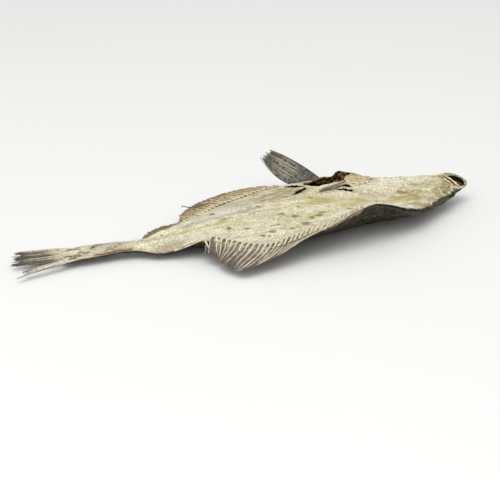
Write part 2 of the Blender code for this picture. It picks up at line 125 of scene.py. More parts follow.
# The dried eyes and the ends of the jaw bones under the head: x and y, then half their sizes.
HEAD_BUMPS = (
    ((143.5, -11), (4.8, 4.6, 1.8)), ((149.5, 0.5), (4.6, 4.4, 1.8)), ((156.5, -3.5), (3, 2.2, 1.6)),
    ((163.5, 2.2), (2.8, 1.8, 1.4)),
)
LOOSE_RAYS = (
    ((4, 51, 7.5), (-8, 48, 8.2), (-16, 44.5, 8.8), (-20, 45.5, 9.2), (-22, 47.5, 9.4), (-23.5, 44.5, 9.6)),
    ((-35.5, -30, 12), (-37, -29.5, 8.5), (-37.5, -31, 6.5), (-39, -32, 4.5)),
)
GROOVE_DEPTH, GROOVE_V, GROOVE_WIDTH = 0.9, 0.02, 0.07
MUSCLE_HEIGHT = 0.5
GILL_EDGE_X, GILL_EDGE_Y, GILL_EDGE_BEND, GILL_COVER_HEIGHT = 86, 8, 0.012, 0.9
CHEEK_LINE = ((84, 4), (98, 0.5), (106, -1), (112, -6), (118, -11), (127, -9.5), (137, -8.5), (150, -7))
CHEEK_DEPTH, CHEEK_WIDTH = 1.3, 2.4

# ---- what the looks add to them

# x where the columns of the skin's mesh change their spacing, and how many each stretch has.
COLUMN_STOPS, COLUMN_COUNTS = (TAIL_ROOT_X, 78, 168, SNOUT_X), (360, 200, 26)
ROWS_BLIND, ROWS_EYED = 160, 96
ROW_CROWDING = 0.55

LATERAL_LINE = (
    (-121, -1.5), (-90, -4), (-60, -4), (-40, -3.2), (-26, -1.4), (-12, 0.4), (2, 2), (14, 3.8), (30, 6),
    (47, 8), (62, 10), (76, 11.5), (90, 12), (150, 10),
)
# The edge of the gill cover.
GILL_LINE = ((79, 19.5), (83.5, 17), (86, 12.5), (86.6, 6), (88.5, 0.5), (93, 0.5))
# The slits beside the gut, then the notches in the gill cover's edge: width, depth, how far the skin steps up
# across them, and their points from the tail on.
CUTS = (
    (1.2, 1.1, 1.1, ((49.5, 23.5), (53.3, 25.8), (56, 27.2), (59.6, 29.6), (62.8, 33))),
    (1.5, 1.1, 1.1, ((54.6, 49.4), (57.6, 47.6), (60, 42.6), (63.3, 37.8))),
    (1.1, 1, 0.7, ((85.9, 27), (87.4, 24.4), (88.8, 20.8), (88.9, 17.6))),
    (1.1, 1, 0.7, ((79.8, 19.4), (83, 16.6), (85.2, 13), (86.4, 10.6))),
)

# The gut opening's torn lip, and the top edge of the far wall that stands up behind it.
GUT_LIP = (
    (65.5, 40), (67.5, 35.2), (72, 32), (78, 33), (84.2, 35.2), (91.2, 38.2), (97, 40), (103, 43), (107, 48),
    (99.5, 52.8), (92, 56.4), (84, 59.4), (76, 59.4), (70, 53), (66.8, 45.5),
)
GUT_WALL_TOP = (
    (74.5, 54, 10.6), (81.9, 52.5, 14), (87, 52.5, 14), (92.2, 52, 14.9), (94.3, 50.5, 17.6), (98, 50, 17.9),
    (102.5, 48.5, 17.2), (106.5, 47, 16.4), (111.1, 46, 14.2), (116, 44.5, 12.6),
)
# How deep the gut is, how far in it reaches that depth, how thick its floor is, and the grid of its lining.
GUT_DEPTH, GUT_SLOPE, GUT_FLOOR = 7, 4.5, 1.2
GUT_GRID_X, GUT_GRID_Y = (64, 109, 130), (30, 61, 100)
# The share of the mouth that is hollow, how thick its floor is, and how far the head's bumps spread below.
MOUTH_HOLLOW, MOUTH_FLOOR, BUMP_SPREAD = 0.97, 0.9, 1.15

# Folds of the skin: half width, depth, how brown they are, and their points.
FOLDS = (
    (0.8, 0.9, 0.9, ((113, -4.8), (115.5, -7), (118.6, -9.2))),
    (0.7, 0.6, 0.8, ((138.6, -9.4), (140.2, -12.4), (139.2, -17.4))),
    (0.7, 0.7, 0.8, ((141.8, -8.2), (143.4, -11.8), (142.2, -17))),
    (0.7, 0.8, 0.7, ((147.6, -2.6), (148.6, -7.2), (147.8, -11.4))),
    (0.8, 0.9, 0.8, ((152.2, 3.6), (153.6, -1.6), (151.8, -6.8))),
    (0.7, 0.7, 0.6, ((156.4, 0.4), (157.6, -2.4), (157, -5.2))),
    (0.6, 0.6, 0.5, ((109, -22.6), (115, -26.6), (122.9, -29.9))),
    (0.6, 0.6, 0.5, ((113.4, -19.8), (119.6, -24.4), (127.4, -26.2))),
    (0.6, 0.5, 0.5, ((124, -22), (129, -21), (134.4, -23.4))),
    (0.8, 0.6, 0.45, ((129, -4.6), (137, -2.6), (146, 1.4))),
    (0.7, 0.5, 0.4, ((100, 12.4), (112, 14.4), (124, 12.6), (136, 15.2))),
    (0.7, 0.5, 0.35, ((104, 24), (116, 22.6), (130, 24.6))),
)
# Lumps of the snout's skin: x, y, half length, half width, height and how dark they are.
LUMPS = (
    (160.4, -1.4, 2.6, 1.9, 1.1, 0.2), (151, -9.2, 2.8, 1.7, 0.9, 0.4), (144.6, -14.4, 2.8, 1.8, 0.9, 0.3),
    (155.4, -5.4, 2.6, 1.8, 1, 0.1), (150.2, -3.8, 2.8, 2.8, 0.8, 0.15), (145.6, -7.2, 2, 2.6, 0.9, 0.1),
    (137, -18.6, 2.6, 2, 0.8, 0.3), (157.8, 2, 1.6, 1.4, 0.6, 0), (159.8, 0.1, 1.1, 1.2, -0.9, 1),
    (145.4, -11.9, 1.5, 1.7, -1, 1.3), (130.4, -24.4, 2.4, 1.4, 0.6, 0.2), (152.6, 8.4, 2.4, 2.2, 0.6, 0.2),
    (141.4, -10.8, 2.2, 2.4, 0.8, 0), (150.6, -7.4, 1.9, 1.6, -0.7, 0.5), (134, -12.6, 4, 3, 0.6, 0),
)

# Spots of the skin: x, y, half length and half width.
SPOTS = (
    (-16.8, -19.6, 2.1, 2.4), (-7, -25.8, 2.5, 2.1), (-3.2, -41.2, 2.2, 2), (4.8, -38, 2.9, 2.1),
    (0, -43.8, 1.2, 1.3), (23.2, -11.8, 2.9, 2.2), (18, -39.4, 1.7, 1.5), (29.4, -35, 3.4, 3),
    (29.6, -19, 3, 2.6), (43, -26, 3.6, 2.6), (48, -20.5, 2.4, 2.2), (27.4, -48, 1.4, 1.6),
    (37.5, -27.5, 2.2, 2), (-15, 12, 3, 2.2), (16.4, 10, 1.6, 2), (19, 18.6, 1.8, 1.4), (24.6, 20.6, 2, 1.5),
    (27.2, 27.5, 1.4, 1.8), (31, 47, 2.2, 3.2), (42, 20.4, 1.8, 1.2), (55.5, 11.6, 1.5, 1.1),
    (13, -29.6, 1.6, 1.1), (66, -23.5, 1.6, 1.8), (39.5, -3.5, 1.3, 1.6), (-56, -3.2, 0.9, 0.9),
    (90, -17, 1.4, 1.6),
)
# Dark marks on the tail's stalk: half width, strength and their points.
MARKS = (
    (1.7, 1, ((-117, 2.6), (-114.4, 3.6), (-110.4, 0.6))), (1.2, 0.7, ((-113, 5.6), (-108, 4.6))),
    (1, 1, ((-121, -7), (-117, -8.2), (-112, -9))), (1.3, 1, ((-120, -10.6), (-115.6, -11))),
    (1.2, 0.9, ((-112.4, -6.4), (-110, -4.6), (-108.2, -7.4), (-105, -6.2))),
    (1.8, 1, ((-101.4, -0.6), (-97.6, 1.6))), (1.5, 0.8, ((-94.8, 2.4), (-92.6, 2.6), (-90.6, 1.4))),
    (1, 0.7, ((-96, -9.4), (-93, -7.8), (-90.6, -9.2))),
    (1, 0.7, ((-92.4, -6.2), (-88.4, -7.2), (-85.6, -5.2))), (0.9, 0.6, ((-104, -3.6), (-100, -5.2))),
    (0.8, 0.95, ((-103.6, -11.4), (-96, -11.4), (-88, -11), (-79, -11.8))),
    (0.8, 0.5, ((-84, -2.4), (-79, -1.6))),
)
# Patches of colour in each mask: x, y, half length, half width and strength.
PATCHES = {
    "yellow": (
        (60, 2, 17, 10, 0.85), (82, -8, 11, 10, 0.75), (72, -15, 16, 8, 0.7), (112, -17, 16, 8, 0.95),
        (130, -13, 12, 5, 0.8), (55, 12, 8, 4, 0.8), (64, 29, 6, 5, 0.9), (36, 2, 20, 7, 0.35),
        (97, -20, 9, 7, 0.6), (30, -24, 16, 8, 0.35), (-50, -8, 14, 6, 0.35), (46, -24, 14, 7, 0.4),
        (92, 20, 8, 8, 0.3),
    ),
    "olive": ((147, -8.6, 6, 5, 1), (151, 12, 6, 5, 0.6), (40, -30, 8, 4, 0.3), (118, -14, 10, 4, 0.35)),
    "cool": (
        (116, 15, 32, 10, 0.95), (138, 13, 14, 7, 0.7), (-28, 8, 46, 11, 0.75), (-84, -3, 36, 9, 0.95),
        (96, -30, 16, 6, 0.6), (28, -48, 24, 6, 0.6), (70, -30, 26, 9, 0.55), (-20, -28, 26, 9, 0.45),
        (8, 16, 18, 9, 0.4), (-56, -14, 18, 9, 0.8),
    ),
    "grey": (
        (-22, 20, 16, 14, 0.55), (8, 26, 20, 14, 0.6), (8, 9, 9, 5, 0.85), (-8, -50, 20, 6, 0.5),
        (36, -40, 18, 7, 0.55), (70, -28, 16, 7, 0.35), (-60, -19, 16, 6, 0.45), (-104, 4, 18, 5, 0.4),
        (120, 10, 16, 8, 0.15), (-28, -30, 12, 6, 0.4), (108, -31, 10, 5, 0.45), (70, 20, 10, 5, 0.4),
        (24, 40, 12, 14, 0.35),
    ),
    "pink": (
        (100, -6, 12, 5, 0.35), (117, -32, 16, 6, 1), (22, -48, 16, 6, 0.5), (14, -10, 10, 8, 0.35),
        (60, 6, 8, 6, 0.5), (6, 38, 10, 14, 0.35), (136, 2, 14, 6, 0.35), (-50, 6, 14, 5, 0.4),
        (42, 50, 16, 12, 0.35), (128, -22, 9, 4, 0.8), (-92, -3, 16, 7, 0.5), (62, -46, 18, 4, 0.5),
    ),
    "brown": (
        (41, 28, 25, 13, 0.95), (52, 42, 14, 9, 0.75), (146, -6, 9, 5, 0.65), (155, 3, 6, 5, 0.5),
        (122, -7, 13, 2.4, 0.7), (26, 17, 9, 6, 0.45), (-112, -8, 9, 3, 0.5), (88, 6, 3, 8, 0.35),
        (153, 8, 4, 4, 0.8), (113.5, -6.6, 4.5, 1.8, 0.9), (137, -17, 6, 4, 0.8), (119, -33, 14, 4, 0.8),
        (10, 34, 10, 5, 0.4),
    ),
    "white": (
        (14, -45, 34, 9, 0.6), (112, 8, 18, 8, 0.7), (-20, -18, 26, 8, 0.35), (136, 8, 16, 8, 0.4),
        (90, -32, 14, 7, 0.6), (-64, -10, 18, 8, 0.8), (60, -38, 20, 7, 0.45), (118, 14, 26, 9, 0.7),
    ),
}
# Where the dark skin laps over the snout's near edge.
LAP_PATCHES = (
    (160.8, -4, 2.6, 2.6, 1), (157, -6, 2.4, 1.8, 0.9), (152.6, -10.6, 3.6, 1.8, 1),
    (128.8, -26.8, 3.4, 1.4, 0.6), (123, -30.8, 3, 1.2, 0.6),
)
# Where scales show as a net, and how much larger than in their table the spots are painted.
SCALE_PATCHES = ((-60, -20, 18, 5, 0.9), (-84, -4, 34, 9, 0.3), (-22, -20, 60, 20, 0.12))
SPOT_SPREAD, SPOT_STRENGTH = (1.1, 1.35), 0.9

# Stretches of x, each as the two places between which a form or stain sets in and those where it fades out.
# A name with FROM has only the first two, and one with FADES or TO only the last two.
MUSCLES_X, CHEEK_X, CHEEK_STAIN_X = ((-110, -70), (78, 88)), ((90, 98), (140, 150)), ((92, 97), (140, 150))
LATERAL_X, FRINGE_FADES, GREY_BAND_X = ((-100, -60), (84, 100)), (20, 40), ((-48, -36), (12, 30))
RIM_BUMPS_X, RAGGED_FROM, HEAD_FROM = ((90, 104), (163, 169)), (138, 146), (84, 100)
DORSAL_KNOBS_X, ANAL_KNOBS_X = ((-40, -34), (56, 64)), ((-62, -56), (66, 74))
DORSAL_RIM_X, DORSAL_DASHES_X = ((-40, -34), (56, 62)), ((8, 20), (56, 64))
ANAL_STROKES_X = ((-40, -25), (20, 50)), ((50, 56), (66, 70))
STALK_BROWN_X, REAR_BROWN_X, MIDDLE_BROWN_X = (
    ((-106, -100), (-76, -70)), ((-75, -60), (-40, -20)), ((-30, -10), (60, 75))
)
DARK_LAP_FROM, PALE_EDGE_TO, RAW_SNOUT_X = (58, 64), (58, 66), ((130, 136), (146, 150))

CREAM, SKIN_WHITE, SKIN_COOL = (0.71, 0.64, 0.42), (0.9, 0.85, 0.65), (0.85, 0.84, 0.75)
SKIN_GREENISH, SKIN_PINKISH = (0.67, 0.67, 0.38), (0.67, 0.55, 0.44)
SKIN_YELLOW, SKIN_OLIVE = (0.52, 0.42, 0.13), (0.4, 0.35, 0.14)
SKIN_GREY, SKIN_MAUVE, SKIN_BROWN = (0.45, 0.42, 0.36), (0.42, 0.32, 0.26), (0.29, 0.205, 0.085)
# The first colour darkens streaks and the net of the scales, and is also the painted shade in the skin's
# creases.
SKIN_DIRT_AND_CREASE_SHADE, PORE_COLOUR = (0.24, 0.185, 0.095), (0.2, 0.15, 0.07)
SPOT_COLOUR, PIT_COLOUR, ROOT_PIT_COLOUR = (0.15, 0.135, 0.06), (0.09, 0.06, 0.026), (0.105, 0.08, 0.03)
# The eyed side's dark skin, darker than its own colour as painted shade for the underside, its paler scales
# and its specks.
EYED_DARK, EYED_LIGHT, EYED_SPECK = (0.014, 0.011, 0.007), (0.062, 0.05, 0.032), (0.36, 0.31, 0.21)
# Near black painted shade for the mouth, the gut and the slits, then the mouth's brown inside.
HOLE_SHADE, INSIDE_BROWN = (0.008, 0.004, 0.002), (0.13, 0.082, 0.032)
FLECK, ORANGE = (0.92, 0.89, 0.75), (0.42, 0.25, 0.08)
BONE_ROOT, MEMBRANE_SKIN = (0.76, 0.69, 0.5), (0.6, 0.545, 0.36)
# The gut's lining, and torn tissue that has dried pale.
GUT_DARK, GUT_LIGHT = (0.024, 0.012, 0.004), (0.46, 0.29, 0.1)
TISSUE_SHADE, TISSUE_LIGHT, TISSUE_DARK = (0.36, 0.25, 0.1), (0.66, 0.57, 0.365), (0.13, 0.08, 0.035)
EYE_DARK, EYE_LIGHT, PUPIL = (0.03, 0.028, 0.025), (0.2, 0.19, 0.16), (0.006, 0.006, 0.006)
FLOOR_LIGHT, FLOOR_SHADE = (0.86, 0.86, 0.85), (0.83, 0.83, 0.82)
# The light and the dark colour of each paint for bones and for membranes.
PAINTS = {
    "pale_bone": ((0.78, 0.7, 0.5), (0.3, 0.225, 0.13)),
    "golden_bone": ((0.74, 0.65, 0.43), (0.17, 0.11, 0.042)),
    # Rays folded under the head's edge: dark as the eyed side, and darker still as painted shade under the
    # edge.
    "under_bone": ((0.06, 0.052, 0.038), (0.02, 0.017, 0.013)),
    "tail_bone": ((0.72, 0.65, 0.48), (0.1, 0.085, 0.062)),
    "cream_bone": ((0.76, 0.73, 0.59), (0.1, 0.085, 0.062)),
    "upright_bone": ((0.78, 0.7, 0.49), (0.13, 0.118, 0.095)),
    "loose_bone": ((0.78, 0.7, 0.5), (0.1, 0.085, 0.062)),
    "lip_skin": ((0.33, 0.28, 0.15), (0.13, 0.105, 0.06)),
    "jaw_bone": ((0.86, 0.75, 0.52), (0.4, 0.28, 0.13)),
    "tooth": ((0.78, 0.7, 0.5), (0.5, 0.4, 0.22)),
    "membrane": ((0.225, 0.185, 0.165), (0.085, 0.066, 0.05)),
    "golden_membrane": ((0.4, 0.31, 0.155), (0.17, 0.11, 0.042)),
    # Membranes folded under the head's edge: dark as the eyed side, and darker still as painted shade under
    # the edge.
    "under_membrane": ((0.055, 0.048, 0.038), (0.02, 0.017, 0.013)),
    "tail_membrane": ((0.26, 0.23, 0.165), (0.06, 0.05, 0.034)),
    "pale_membrane": ((0.74, 0.73, 0.63), (0.34, 0.31, 0.24)),
    "upright_membrane": ((0.31, 0.295, 0.26), (0.085, 0.075, 0.06)),
    "lilac_membrane": ((0.36, 0.3, 0.29), (0.11, 0.085, 0.075)),
}

# How many points a ray has along it and a membrane across it, how many rays a fan has, and the share of its
# length from which a ray forks.
RAY_STEPS, MEMBRANE_COLUMNS, FAN_RAYS, FORKS_FROM = 20, 6, 9, 0.5
MEMBRANE_THICKNESS, LINING_THICKNESS, GUT_WALL_THICKNESS, TISSUE_THICKNESS = 0.2, 0.3, 0.9, 0.7
# How many points the other sheets and rods have.
GUT_WALL_GRID, TISSUE_GRID, CUT_GRID = (26, 90), (18, 60), (48, 8)
MOUTH_FLOOR_GRID, EYE_GRID = (24, 65), (12, 32)
STRAND_STEPS, LIP_STEPS, JAW_STEPS = 28, 60, 40
# The dorsal fin is seen from the first place on. From the second on it is folded under the edge. The anal fin
# is seen as far as the third.
DORSAL_SEEN_FROM_X, DORSAL_FOLDED_FROM_X, ANAL_SEEN_TO_X = -37, 61, 57
# How stained each ray of the upright fin is.
UPRIGHT_SHADE = (0.9, 0.7, 0.1, 0, 0.5, 0, 0.1, 0.6, 1)

# The tail fin's bunches of rays, as first and one past the last, how far they close up, and the membranes
# that are torn short, as the ray before them and the share of the fin where they end.
CAUDAL_BUNCHES, CAUDAL_PULL = ((0, 4), (4, 8), (8, 12), (13, 16), (16, 19)), 0.42
CAUDAL_GAPS = ((3, 0.97), (7, 0.84), (11, 0.26))
# How far rays sag towards the fin's lower edge, half way along and at their tips.
CAUDAL_SAGS = (
    (8, 0.6, 0), (9, 1.4, 0), (10, 2.2, 0), (11, 2.8, 0), (12, 3.6, 0), (13, 2.8, 7), (14, 2.2, 4.4),
    (15, 1.2, 1.8),
)
# How stained each ray of the tail fin is.
CAUDAL_SHADE = (0.6, 0.1, 0, 0.5, 0.6, 0, 0.1, 0.5, 0.8, 0.2, 0.4, 0.9, 0.8, 0.6, 0.3, 0, 0.1, 0, 0.7)

# How stained each ray of the flat fin is, the share of the fan's length that it has, and the torn membranes
# as ray and share.
FLAT_FIN_SHADE = (0.4, 0.1, 0.3, 1, 1, 0.5, 0.2, 0.6, 0.8)
FLAT_FIN_LENGTHS = (0.72, 0.84, 0.95, 1, 1.03, 0.98, 0.88, 0.8, 0.66)
FLAT_FIN_GAPS = ((1, 0.75), (3, 0.85), (5, 0.7), (6, 0.9))

# Loose rays and strands: a few points, the thickness and how stained it is.
LOOSE_STRANDS = (
    (LOOSE_RAYS[0], 0.5, 0.9), (LOOSE_RAYS[1], 0.35, 0.3),
    (((-56, -24.5, 6.8), (-50, -26.2, 8.6), (-43, -27.6, 11), (-37.5, -28.8, 13.2)), 0.6, 0.15),
    (((-37, -28, 13.8), (-37.5, -31.5, 12), (-37, -35, 9), (-38.5, -38.5, 7.4)), 0.75, 0.05),
    (((-37, -29, 13), (-38, -33, 10.5), (-38.5, -37, 7), (-37.5, -41, 4)), 0.35, 0.9),
)
# Folds of pale torn tissue in front of the gut: a low path, a high one and how crumpled each is.
TISSUE_FOLDS = (
    (
        ((90, 31, 15.8), (97, 27.5, 17), (104, 27, 17.2), (112, 30, 16.6)),
        ((97, 41, 16.2), (102, 43, 17.2), (109, 44, 15.8), (117, 42, 14.4)), 0.9,
    ),
    (
        ((88, 26, 16.2), (93, 21, 17.4), (99, 18.5, 17.9), (105, 20, 17.8)),
        ((92, 32, 16.5), (98, 31, 17.8), (105, 31, 17.8), (110, 34, 16.4)), 0.7,
    ),
)

# Turns round the mouth, in degrees: the far lip, its row of teeth, and points of the two jaw bones as turn,
# distance out and height, with each bone's radius.
FAR_LIP_TURN_DEG, LIP_OUT = (132, -64), 1.07
TEETH_TURN_DEG, TEETH, TOOTH_RADII = (116, -34), 11, (0.5, 0.55, 0.5, 0.35, 0.12)
JAW_BONES = (
    (((140, 1.08, 0.5), (160, 0.64, 0.7), (215, 0.52, 0.7), (250, 0.82, 0.6), (262, 1.1, 0.3)), 1.05),
    (((165, 1.16, 0.4), (190, 1.02, 0.6), (212, 1.04, 0.6), (226, 1.2, 0.3), (236, 1.52, -0.6)), 1.15),
)

CAMERA_PLACE = (-379.1, -865.8, 334.8)
CAMERA_TURN_DEG, CAMERA_DOWN_DEG = 24, 20
LENS_MM, SENSOR_MM = 111.28, 36
# The lamps: name, place and size in metres, and watts.
LAMPS = (("overhead", (-0.3, -0.5, 1.6), 1.6, 12), ("left", (-1.2, -0.9, 0.7), 0.9, 4))
SKY_STRENGTH = 0.75
FLOOR_HALF_M, FLOOR_DROP_M = 6, 0.0002


# ---- curves, noise and distances

def smooth_step(low, high, x):
    """0 up to low and 1 from high on, with a soft rise between them."""
    t = np.clip((x - low) / (high - low), 0, 1)
    return t * t * (3 - 2 * t)


def within(x, stretch):
    """1 along a stretch and 0 outside it, with a soft rise and fall at its ends."""
    sets_in, fades_out = stretch
    return smooth_step(*sets_in, x) * (1 - smooth_step(*fades_out, x))


def bell(x, middle, width):
    """1 at the middle, falling off to both sides."""
    return np.exp(-(((x - middle) / width) ** 2))


def curve(points, column=1):
    """A smooth function of the points' first number: cubic pieces whose slopes match where they meet."""
    xs, ys = (np.array([point[n] for point in points], float) for n in (0, column))
    slopes = np.gradient(ys, xs)

    def at(x):
        x = np.clip(x, xs[0], xs[-1])
        i = np.clip(np.searchsorted(xs, x) - 1, 0, len(xs) - 2)
        step = xs[i + 1] - xs[i]
        t = (x - xs[i]) / step
        rise = smooth_step(0, 1, t)
        bend = t * (1 - t) ** 2 * slopes[i] - t * t * (1 - t) * slopes[i + 1]
        return ys[i] * (1 - rise) + ys[i + 1] * rise + step * bend

    return at


def unit(vector):
    return np.asarray(vector, float) / np.linalg.norm(vector)


def noise(x, y, size, seed):
    """Smooth random heights from -1 to 1, in lumps about size across."""
    side = 128
    table = np.random.default_rng(seed).uniform(-1, 1, (side, side))
    gx, gy = np.asarray(x, float) / size, np.asarray(y, float) / size
    ix, iy = np.floor(gx).astype(int), np.floor(gy).astype(int)
    tx, ty = smooth_step(0, 1, gx - ix), smooth_step(0, 1, gy - iy)

    def at(a, b):
        return table[(ix + a) % side, (iy + b) % side]

    low = at(0, 0) * (1 - tx) + at(1, 0) * tx
    return low * (1 - ty) + (at(0, 1) * (1 - tx) + at(1, 1) * tx) * ty


def rough(x, y, size, seed, layers=3):
    """Noise of several sizes, each half as large and half as high as the one before."""
    return sum(noise(x, y, size / 2**n, seed + n) / 2**n for n in range(layers))


def creases(x, y, size, seed):
    """0 along sharp creases, up to 1 on the rounded swells between them."""
    return np.clip(2.2 * np.abs(noise(x, y, size, seed)), 0, 1)


def line_distance(x, y, places):
    """Distance from each point to a line through a few places."""
    nearest = np.full(np.shape(x), np.inf)
    for (ax, ay), (bx, by) in zip(places, places[1:]):
        length = (bx - ax) ** 2 + (by - ay) ** 2
        t = np.clip(((x - ax) * (bx - ax) + (y - ay) * (by - ay)) / length, 0, 1)
        nearest = np.minimum(nearest, np.hypot(x - ax - t * (bx - ax), y - ay - t * (by - ay)))
    return nearest


def depth_inside(x, y, corners):
    """Distance in from a closed line through the corners, below 0 outside it."""
    inside = np.zeros(np.shape(x), bool)
    for (ax, ay), (bx, by) in zip(corners, (*corners[1:], corners[0])):
        crosses = (ay > y) != (by > y)
        inside ^= crosses & (x < ax + (bx - ax) * (y - ay) / (by - ay + 1e-9))
    apart = line_distance(x, y, (*corners, corners[0]))
    return np.where(inside, apart, -apart)


def patches(x, y, table):
    """How strongly a place is covered by patches of (x, y, half length, half width, strength)."""
    bare = np.ones(np.shape(x))
    for cx, cy, rx, ry, strength in table:
        out = np.hypot((x - cx) / rx, (y - cy) / ry)
        bare *= 1 - strength * (1 - smooth_step(0.35, 1.15, out))
    return 1 - bare


dorsal_y, dorsal_z = curve(DORSAL_EDGE, 1), curve(DORSAL_EDGE, 2)
belly_y, belly_z = curve(BELLY_EDGE, 1), curve(BELLY_EDGE, 2)
backbone_y, back_top, back_under = (curve(BACKBONE, n) for n in (1, 2, 3))
dorsal_rim, belly_rim, dorsal_curl = curve(DORSAL_RIM), curve(BELLY_RIM), curve(DORSAL_CURL)
cheek_y, lateral_y = curve(CHEEK_LINE), curve(LATERAL_LINE)


# ---- meshes

def link(name, data):
    """A new object in the scene."""
    made = bpy.data.objects.new(name, data)
    bpy.context.scene.collection.objects.link(made)
    return made


def thicken(piece, thickness):
    """Turns a sheet into a thin solid."""
    step = piece.modifiers.new("thickness", "SOLIDIFY")
    step.thickness = thickness * MM
    step.offset = 0
    bpy.context.view_layer.update()
    mesh = bpy.data.meshes.new_from_object(piece.evaluated_get(bpy.context.evaluated_depsgraph_get()))
    piece.modifiers.clear()
    piece.data = mesh
    mesh.shade_smooth()


class Shape:
    """The points, faces and masks of a piece while it is put together."""

    def __init__(self):
        self.points, self.faces, self.masks, self.size = [], [], {}, 0

    def add(self, points, faces, **masks):
        points = np.asarray(points, float).reshape(-1, 3)
        for name in {*masks, *self.masks}:
            rows = self.masks.setdefault(name, [np.zeros(self.size)] if self.size else [])
            rows.append(np.broadcast_to(np.asarray(masks.get(name, 0), float).ravel(), len(points)))
        self.points.append(points)
        self.faces.extend([tuple(i + self.size for i in face) for face in faces])
        self.size += len(points)
        return self

    def tube(self, path, radius, sides=6, flat=1.0, **masks):
        """Adds a round or flattened rod along a path, closed at both ends."""
        level, steep = (side[:, None] for side in sides_of(path))
        radius = np.broadcast_to(radius, len(path))[:, None, None]
        turn = np.linspace(0, 2 * math.pi, sides, endpoint=False)[None, :, None]
        rings = path[:, None] + radius * (level * np.cos(turn) + flat * steep * np.sin(turn))
        last = (len(path) - 1) * sides
        ends = [tuple(range(sides))[::-1], tuple(range(last, last + sides))]
        full = {key: np.repeat(np.broadcast_to(value, len(path)), sides) for key, value in masks.items()}
        return self.add(rings, ring_faces(len(path), sides) + ends, **full)

    def piece(self, name, material, thickness=0):
        """The finished piece. A sheet gets a thickness."""
        mesh = bpy.data.meshes.new(name)
        points = (np.concatenate(self.points) - (*BOX_MIDDLE, 0)) * MM
        mesh.from_pydata(points.tolist(), [], self.faces)
        for key, rows in self.masks.items():
            mesh.attributes.new(key, "FLOAT", "POINT").data.foreach_set("value", np.concatenate(rows))
        mesh.materials.append(material)
        mesh.shade_smooth()
        made = link(name, mesh)
        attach(made, "root")
        if thickness:
            thicken(made, thickness)
        return made


def sheet_faces(rows, columns, keep=None):
    """Four-sided faces of a grid of points, or those of them that keep marks."""
    corner = np.arange(rows * columns).reshape(rows, columns)
    faces = np.stack([corner[:-1, :-1], corner[1:, :-1], corner[1:, 1:], corner[:-1, 1:]], axis=-1)
    return (faces.reshape(-1, 4) if keep is None else faces[keep]).tolist()


def ring_faces(rings, sides):
    """Four-sided faces between closed rings of points."""
    corner = np.arange(rings * sides).reshape(rings, sides)
    turned = np.roll(corner, -1, axis=1)
    return np.stack([corner[:-1], turned[:-1], turned[1:], corner[1:]], axis=-1).reshape(-1, 4).tolist()


def sheet_normals(points):
    """Unit vectors out of a grid of points."""
    normal = np.cross(np.gradient(points, axis=0), np.gradient(points, axis=1))
    return normal / np.maximum(np.linalg.norm(normal, axis=2, keepdims=True), 1e-9)


def sides_of(path):
    """Two unit vectors across a path at each of its points."""
    along = np.gradient(path, axis=0)
    along /= np.linalg.norm(along, axis=1, keepdims=True)
    level = np.cross((0, 0, 1), along)
    level[np.linalg.norm(level, axis=1) < 1e-3] = (1, 0, 0)
    level /= np.linalg.norm(level, axis=1, keepdims=True)
    return level, np.cross(along, level)


def smooth_path(places, count):
    """A path of count points on a smooth curve through a few places."""
    rows = [(t, *place) for t, place in zip(np.linspace(0, 1, len(places)), places)]
    return np.stack([curve(rows, axis)(np.linspace(0, 1, count)) for axis in (1, 2, 3)], axis=1)


# ---- materials

